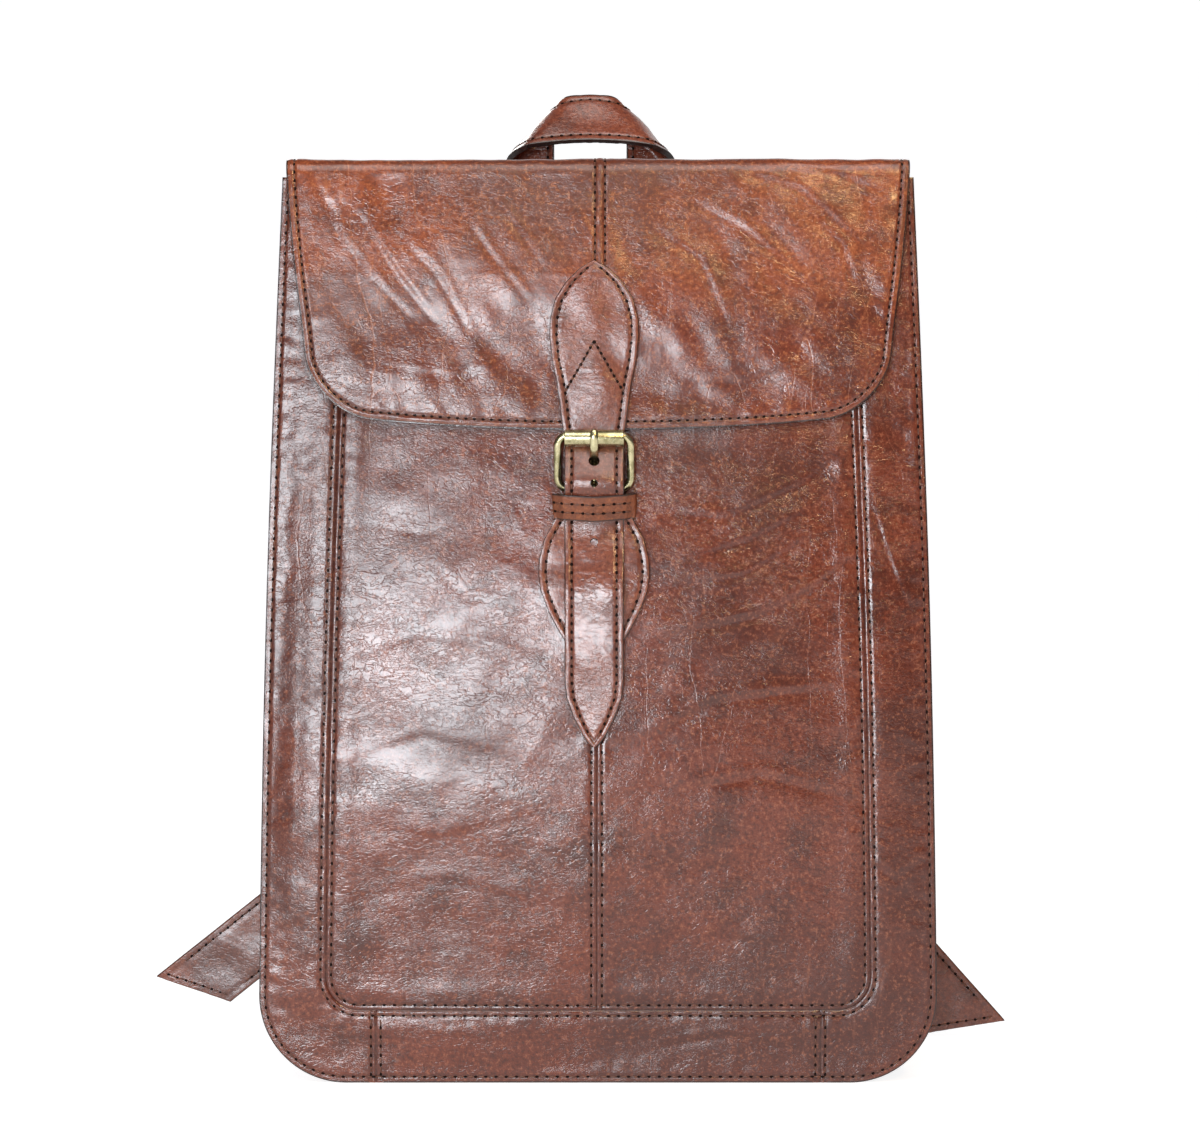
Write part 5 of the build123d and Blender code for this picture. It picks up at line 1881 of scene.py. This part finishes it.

# %% [markdown]
# ## The shoulder straps
#
# Each shoulder strap is sewn under the yoke, bows out behind the back, comes down behind the roller of
# a buckle at the lower corner and leaves a slanted tail that points out past the bag's side.
# It is doubled leather, grain outside on both faces, so it is two ribbons laid back to back. Its upper
# end is sewn down.

# %% Where the shoulder straps run
SHOULDER_HALF = 15.0
SHOULDER_THICK = 2.6
CHAPE_HALF = 13.8
CHAPE_RUN = 20.0
REACH_ROLLER = 3.4 + 0.3 + SHOULDER_THICK / 2
REACH_BAR = 3.2 + 0.3 + SHOULDER_THICK / 2
CROSSING = asin((REACH_ROLLER + REACH_BAR) / BAR_PITCH)
TAIL_RUN = {"left": 100.8, "right": 93.8}
TAIL_SLANT = 0.649
TIP_SPARE = 14.0
LOOP_HALF = 4.5
TAIL_HOLES = (30, 52, 74)
SIDES = {"left": -1.0, "right": 1.0}
away = np.array([0.0, 1.0, 0.0])


def row_of(values):
    """A joint's place or direction as a row of numbers."""
    return np.array([float(value) for value in values])


def bezier(points, count):
    """Points of a cubic curve from its four control points."""
    share = np.linspace(0, 1, count)[:, None]
    back = 1 - share
    a, b, c, d = points
    return a * back**3 + b * 3 * share * back**2 + c * 3 * share**2 * back + d * share**3


class StrapPlan:
    """The places and directions of one shoulder strap, read from the frame's joints."""

    def __init__(self, side):
        self.side = side
        swing = joints[f"strap_swing_{side}"]
        roll = joints[f"strap_roller_spin_{side}"]
        self.top = row_of(swing["pos_m"]) / MM
        self.top_up = row_of(swing["axis"])
        self.top_across = np.cross(-away, self.top_up)
        roller_axis = row_of(roll["axis"])
        up = np.cross(roller_axis, -away)
        self.up = up / np.linalg.norm(up) * np.sign(up[2])
        self.across = np.cross(-away, self.up)
        self.buckle_up = self.up * cos(CROSSING) + away * sin(CROSSING)
        self.bar = row_of(roll["pos_m"]) / MM - self.buckle_up * BAR_PITCH

    def seat(self, y, z):
        """A point from its place in the buckle's flat plane: y towards the bag, z up the strap."""
        return self.bar - away * y + self.up * z

    def leaning(self, y, z):
        """A point from its place in the buckle's leaning plane."""
        inward = np.cross(self.buckle_up, self.across)
        return self.bar + inward * y + self.buckle_up * z

    def hanging(self, y, z):
        """A point from its place in the plane at the strap's upper end."""
        return self.top - away * y + self.top_up * z


plans = {side: StrapPlan(side) for side in SIDES}
for side, plan in plans.items():
    print(side, "base bar at", [round(float(value), 1) for value in plan.bar])

# %% The strap's course
INKED_BACK = ("strap_leather", "cut_edge", "cut_edge")
ROOT_SEWN = 18.0
THREAD_LEVEL = SHOULDER_THICK / 2 - 0.1
ON_BACK = STRAP_TOP_Y - BACK_Y - SHOULDER_THICK / 2


def strap_course(plan):
    """The middle line of a shoulder strap and the direction across it at every point."""
    root = rounded([plan.hanging(ON_BACK, 13.4 + ROOT_SEWN), plan.hanging(ON_BACK, 13.4),
                    plan.hanging(0, 3.0), plan.hanging(0, 0)], [5.5, 5.5])
    low = plan.leaning(REACH_ROLLER, 34.3)
    bow = bezier([plan.top, plan.top - plan.top_up * 75, low + plan.buckle_up * 110, low], 260)
    turn = np.linspace(0, CROSSING, 14)
    round_roller = [plan.leaning(REACH_ROLLER * cos(a), BAR_PITCH - REACH_ROLLER * sin(a)) for a in turn]
    tail_start = np.array(round_roller[-1])
    beyond = tail_start - plan.up * float((tail_start - plan.seat(0, 0)) @ plan.up)
    tail_end = beyond - plan.up * (TAIL_RUN[plan.side] + TIP_SPARE)
    steps = np.linspace(0, 1, 160)[1:, None]
    straight = tail_start + (tail_end - tail_start) * steps
    path = np.concatenate([root, bow[1:], np.array(round_roller)[1:], straight])
    share = np.concatenate([np.zeros(len(root)), np.linspace(0, 1, len(bow) - 1),
                            np.ones(len(path) - len(root) - len(bow) + 1)])[:, None]
    return path, plan.top_across * (1 - share) + plan.across * share


def soften(path, start, settle):
    """Let a strap's free end curl a little, as leather that has hung does."""
    run = run_of(path)
    past = np.clip((run - start) / (run[-1] - start), 0, 1)
    return path + away * (settle * past**2)[:, None]


for side, plan in plans.items():
    path, across = strap_course(plan)
    length = float(np.sum(step_lengths(path))) - TIP_SPARE
    path = soften(path, length - TAIL_RUN[side] + 20, 2.4)
    slant = -SIDES[side] * TAIL_SLANT
    bend = (plan.hanging(0, 8), plan.hanging(0, -7))
    blend = ("bag", f"strap_{side}", *bend)
    for layer, sign in (("outer", 1), ("inner", -1)):
        strap = Ribbon(path, across * sign, same_half(SHOULDER_HALF))
        strap.length = length

        def end_of(offset):
            return length + sign * slant * offset

        piece = ribbon_sheet(f"shoulder_strap_{side}_{layer}", strap, 26, 420, 151, crown=0.25,
                             base=SHOULDER_THICK / 2 - 0.3, reach=end_of)
        nodes = [f"shoulder_strap_{side}", f"strap_root_{side}"] if layer == "outer" else []
        finish_strap(piece, (0, sign, 0), nodes, None, INKED_BACK, 1.25, blend)
        for edge in (-1, 1):
            start = 24 if layer == "outer" else 30
            last = length - 12 + edge * sign * slant * 12
            sew(f"strap_{side}", *strap.row(STRAP_ROW, start, last, edge, THREAD_LEVEL))
        across_end = np.linspace(STRAP_ROW - SHOULDER_HALF, SHOULDER_HALF - STRAP_ROW, 24)
        ends = end_of(across_end) - 3.4
        end_row = strap.point(ends, across_end, np.full_like(ends, THREAD_LEVEL))
        sew(f"strap_{side}", end_row, strap.at(strap.out, ends))
        for drop in TAIL_HOLES:
            spot = np.array([length - TAIL_RUN[side] + drop + 0.55 * sign])
            hole = strap.point(spot, np.zeros(1), np.zeros(1))[0]
            punch(piece, hole, strap.at(strap.out, spot)[0], 1.3, 1.9)
    finish_thread(f"strap_thread_{side}", f"strap_{side}", blend=(*blend[:2], bend[0] * MM, bend[1] * MM))
    print(side, "shoulder strap", round(length), "mm long")

# %% [markdown]
# ## What holds the shoulder straps' buckles
#
# A folded chape goes round each buckle's base bar with a slot for the prong. Its two layers are sewn
# together and join a tab whose end is caught in the corner seam. The tab drops from the strap's level
# to the back. A stitched keeper goes round the chape and the strap's tail.

# %% Chapes, tabs and keepers
SLOT_WIDTH, SLOT_LOW, SLOT_HIGH = 4.6, -3.8, 4.5


def slot_through(piece, plan):
    """Cut a slot for the prong through a chape."""
    clear_selection()
    bpy.ops.mesh.primitive_cube_add(size=1)
    peg = bpy.context.object
    sides = np.stack([plan.across * SLOT_WIDTH, away * 12, plan.up * (SLOT_HIGH - SLOT_LOW)])
    shaped = plan.seat(0, (SLOT_LOW + SLOT_HIGH) / 2) + read_points(peg) @ sides
    peg.data.vertices.foreach_set("co", (shaped * MM).ravel())
    edit_all(peg, (bpy.ops.mesh.normals_make_consistent, {"inside": False}))
    cut_away(piece, peg)


def tab_ends(tab, offsets):
    """How far along a tab the bag's corner seam lies, at several places across the tab."""
    tries = np.linspace(20, tab.length, 160)
    ends = []
    for offset in offsets:
        spots = tab.point(tries, np.full_like(tries, offset))
        ends.append(tries[np.argmin(ring_gap(spots[:, 0], spots[:, 2], 0, 0, CORNER) > 1.2)])
    return np.array(ends)


for side, plan in plans.items():
    wrap = [plan.seat(1.7 * cos(a) * 1.25, 1.7 * sin(a) * 1.25) for a in np.linspace(-0.35, pi + 0.35, 26)]
    path = [plan.seat(0.95, -CHAPE_RUN - 1), plan.seat(0.95, -4.4), *wrap, plan.seat(-0.95, -4.4),
            plan.seat(-0.95, -CHAPE_RUN - 1)]
    path = rounded(path, [2.0] + [0.0] * 26 + [2.0], step=0.5)
    chape = Ribbon(path, plan.across * -1, same_half(CHAPE_HALF))
    if chape.out[len(chape.out) // 2] @ plan.up < 0:
        chape = Ribbon(path, plan.across, same_half(CHAPE_HALF))
    piece = ribbon_sheet(f"strap_chape_{side}_skin", chape, 22, 120, 161, crown=0.1, base=0.75)
    top_face = max(piece.data.polygons, key=lambda face: Vector(face.center).dot(Vector(plan.up)))
    look_outward(piece, plan.up, [top_face])
    finish_sheet(piece, STRAP_HIDE, thickness=1.45, round_off=0.4)
    slot_through(piece, plan)
    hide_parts(f"strap_chape_{side}")
    end_a, end_b = plan.seat(0, -CHAPE_RUN + 7), plan.seat(0, -CHAPE_RUN - 4)
    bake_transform(piece)

    tab_points = [plan.seat(0, -CHAPE_RUN + 6.5), plan.seat(0, -CHAPE_RUN - 3.4),
                  plan.seat(ON_BACK, -CHAPE_RUN - 13.4), plan.seat(ON_BACK, -CHAPE_RUN - 60)]
    tab = Ribbon(rounded(tab_points, [5, 5]), plan.across, same_half(CHAPE_HALF))
    known = np.linspace(-CHAPE_HALF, CHAPE_HALF, 28)
    found = tab_ends(tab, known)
    piece = ribbon_sheet(f"strap_tab_{side}_skin", tab, 22, 90, 171, crown=0.1, base=0.9,
                         reach=lambda offset: np.interp(offset, known, found))
    finish_strap(piece, OUT_BACK, [f"strap_tab_{side}"], None, thickness=2.3,
                 blend=(f"strap_{side}", "bag", end_a, end_b))
    for edge in (-1, 1):
        last = float(np.interp(edge * (CHAPE_HALF - STRAP_ROW), known, found)) - 1.5
        sew(f"tab_{side}", *tab.row(STRAP_ROW, 1.0, last, edge, 0.95))
        for start, end in ((chape.length - CHAPE_RUN + 3, chape.length - 2), (2, CHAPE_RUN - 3)):
            sew(f"chape_{side}", *chape.row(STRAP_ROW, start, end, edge, 0.8))
    blend = (f"strap_{side}", "bag", end_a * MM, end_b * MM)
    finish_thread(f"tab_thread_{side}", f"tab_{side}", blend=blend)
    finish_thread(f"chape_thread_{side}", f"chape_{side}", blend=blend)

    wide, near, far, level = 17.0, 2.7, -7.2, -12.5
    corners = [(0, near), (wide, near), (wide, far), (-wide, far), (-wide, near), (0.5, near)]
    loop_points = [plan.seat(y, level) + plan.across * x for x, y in corners]
    loop_path = rounded(loop_points, [2.2] * 4, step=0.4)
    loop = Ribbon(loop_path, plan.up, same_half(LOOP_HALF))
    middle = plan.seat((near + far) / 2, level)
    if loop.out[len(loop.out) // 2] @ (loop.path[len(loop.path) // 2] - middle) < 0:
        loop = Ribbon(loop_path, -plan.up, same_half(LOOP_HALF))
    piece = ribbon_sheet(f"strap_keeper_{side}_skin", loop, 18, 150, 181, groove=0, crown=0.15, base=-0.1)
    look_outward(piece, OUT_BACK, [max(piece.data.polygons, key=lambda face: face.center.y)])
    finish_sheet(piece, BAND_HIDE, thickness=1.4, round_off=0.4)
    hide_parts(f"strap_keeper_{side}")
    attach(piece, f"strap_{side}")
    for edge in (-1, 1):
        sew(f"loop_{side}", *loop.row(1.6, 1, loop.length - 1, edge, 0.0))
    finish_thread(f"keeper_thread_{side}", f"loop_{side}", body=f"strap_{side}")

# %% The shoulder straps' buckles
for side, plan in plans.items():
    place = plane_of(plan.bar, plan.across, plan.buckle_up)
    nodes = (f"strap_buckle_{side}", f"strap_roller_{side}", f"strap_prong_{side}")
    bodies = (f"strap_{side}", f"strap_roller_{side}", f"strap_{side}")
    make_buckle(f"strap_{side}", place, 2 * SHOULDER_HALF, nodes, bodies)

# %% [markdown]
# ## Floor, light and camera
#
# The bag stands on a white studio sweep. A broad cool window light from the front left gives the wide
# sheen on that side of the leather, a smaller warm light from the upper right gives the golden glints on
# the flap, and a soft overhead light opens the shadows. The camera is level and looks straight at it.

# %% Floor and world
def white_surface(name, strength):
    """White to the camera and in reflections, and a plain matt white for everything else."""
    material = bpy.data.materials.new(name)
    material.use_nodes = True
    tree = material.node_tree
    shader = tree.nodes["Principled BSDF"]
    shader.inputs["Base Color"].default_value = (0.45, 0.46, 0.48, 1)
    shader.inputs["Roughness"].default_value = 0.9
    seen = tree.nodes.new("ShaderNodeLightPath").outputs
    shown = highest(tree, [seen[f"Is {ray} Ray"] for ray in ("Camera", "Glossy", "Transmission")])
    shader.inputs["Emission Color"].default_value = (1, 1, 1, 1)
    tree.links.new(times(tree, shown, strength), shader.inputs["Emission Strength"])
    return material


FLOOR_SIZE = 12.0
FLOOR_FRONT = 1.95
BACKDROP_PLACE = 3.0
BACKDROP_HEIGHT = 4.0
BACKDROP_CURVE = 1.2


def make_sweep():
    """A floor that curves up into a backdrop: a plane, extruded and bevelled."""
    clear_selection()
    bpy.ops.mesh.primitive_plane_add(size=FLOOR_SIZE, location=(0, 0, 0))
    sweep = bpy.context.object
    sweep.name = "studio_sweep"

    def lies_at(y):
        def test(edge):
            ends = [sweep.data.vertices[i].co for i in edge.vertices]
            return all(abs(end.y - y) < 0.01 and end.z < 0.01 for end in ends)
        return test

    half = FLOOR_SIZE / 2
    select_parts(sweep, "EDGE", lies_at(-half))
    bpy.ops.transform.translate(value=(0, half - FLOOR_FRONT, 0))
    select_parts(sweep, "EDGE", lies_at(half))
    bpy.ops.transform.translate(value=(0, BACKDROP_PLACE - half, 0))
    bpy.ops.mesh.extrude_region_move(TRANSFORM_OT_translate={"value": (0, 0, BACKDROP_HEIGHT)})
    select_parts(sweep, "EDGE", lies_at(BACKDROP_PLACE))
    bpy.ops.mesh.bevel(offset=BACKDROP_CURVE, segments=16)
    bpy.ops.object.mode_set(mode="OBJECT")
    bpy.ops.object.shade_smooth()
    sweep.data.materials.append(white_surface("studio_white", 0.85))


make_sweep()
world = bpy.data.worlds.new("studio")
bpy.context.scene.world = world
world.use_nodes = True
world.node_tree.nodes["Background"].inputs["Color"].default_value = (0.93, 0.96, 1.0, 1)
world.node_tree.nodes["Background"].inputs["Strength"].default_value = 0.14


# %% Lamps
def area_light(name, place, aim, size, power, tint):
    """A soft rectangular lamp that looks at a point."""
    lamp = bpy.data.lights.new(name, "AREA")
    lamp.shape = "RECTANGLE"
    lamp.size, lamp.size_y = size
    lamp.energy = power
    lamp.color = tint
    light = bpy.data.objects.new(name, lamp)
    bpy.context.collection.objects.link(light)
    light.location = place
    light.rotation_euler = (Vector(aim) - Vector(place)).to_track_quat("-Z", "Y").to_euler()


SOFT_WHITE = (1.0, 0.97, 0.93)
area_light("window_left", (-0.50, -2.0, 0.11), (-0.08, 0, 0.17), (0.76, 0.72), 37, (0.88, 0.94, 1.0))
area_light("warm_right", (0.42, -1.35, 0.95), (0.08, 0, 0.34), (0.12, 0.12), 6, (1.0, 0.64, 0.30))
area_light("back_fill", (-0.9, 1.7, 1.3), (0, 0.06, 0.2), (0.8, 0.8), 14, SOFT_WHITE)
area_light("overhead", (0, -1.2, 1.8), (0, 0, 0.2), (1.6, 1.2), 25, SOFT_WHITE)

# %% Camera
CAMERA_PLACE = (0.0008, -1.25, 0.211)
camera = bpy.data.cameras.new("camera")
camera.lens = 87.42
camera.sensor_width = 36
camera.clip_start = 0.01
view = bpy.data.objects.new("camera", camera)
bpy.context.collection.objects.link(view)
view.location = CAMERA_PLACE
view.rotation_euler = (radians(90), 0, 0)
bpy.context.scene.camera = view
bpy.context.scene.view_settings.view_transform = "Standard"

# %% Finish
import json
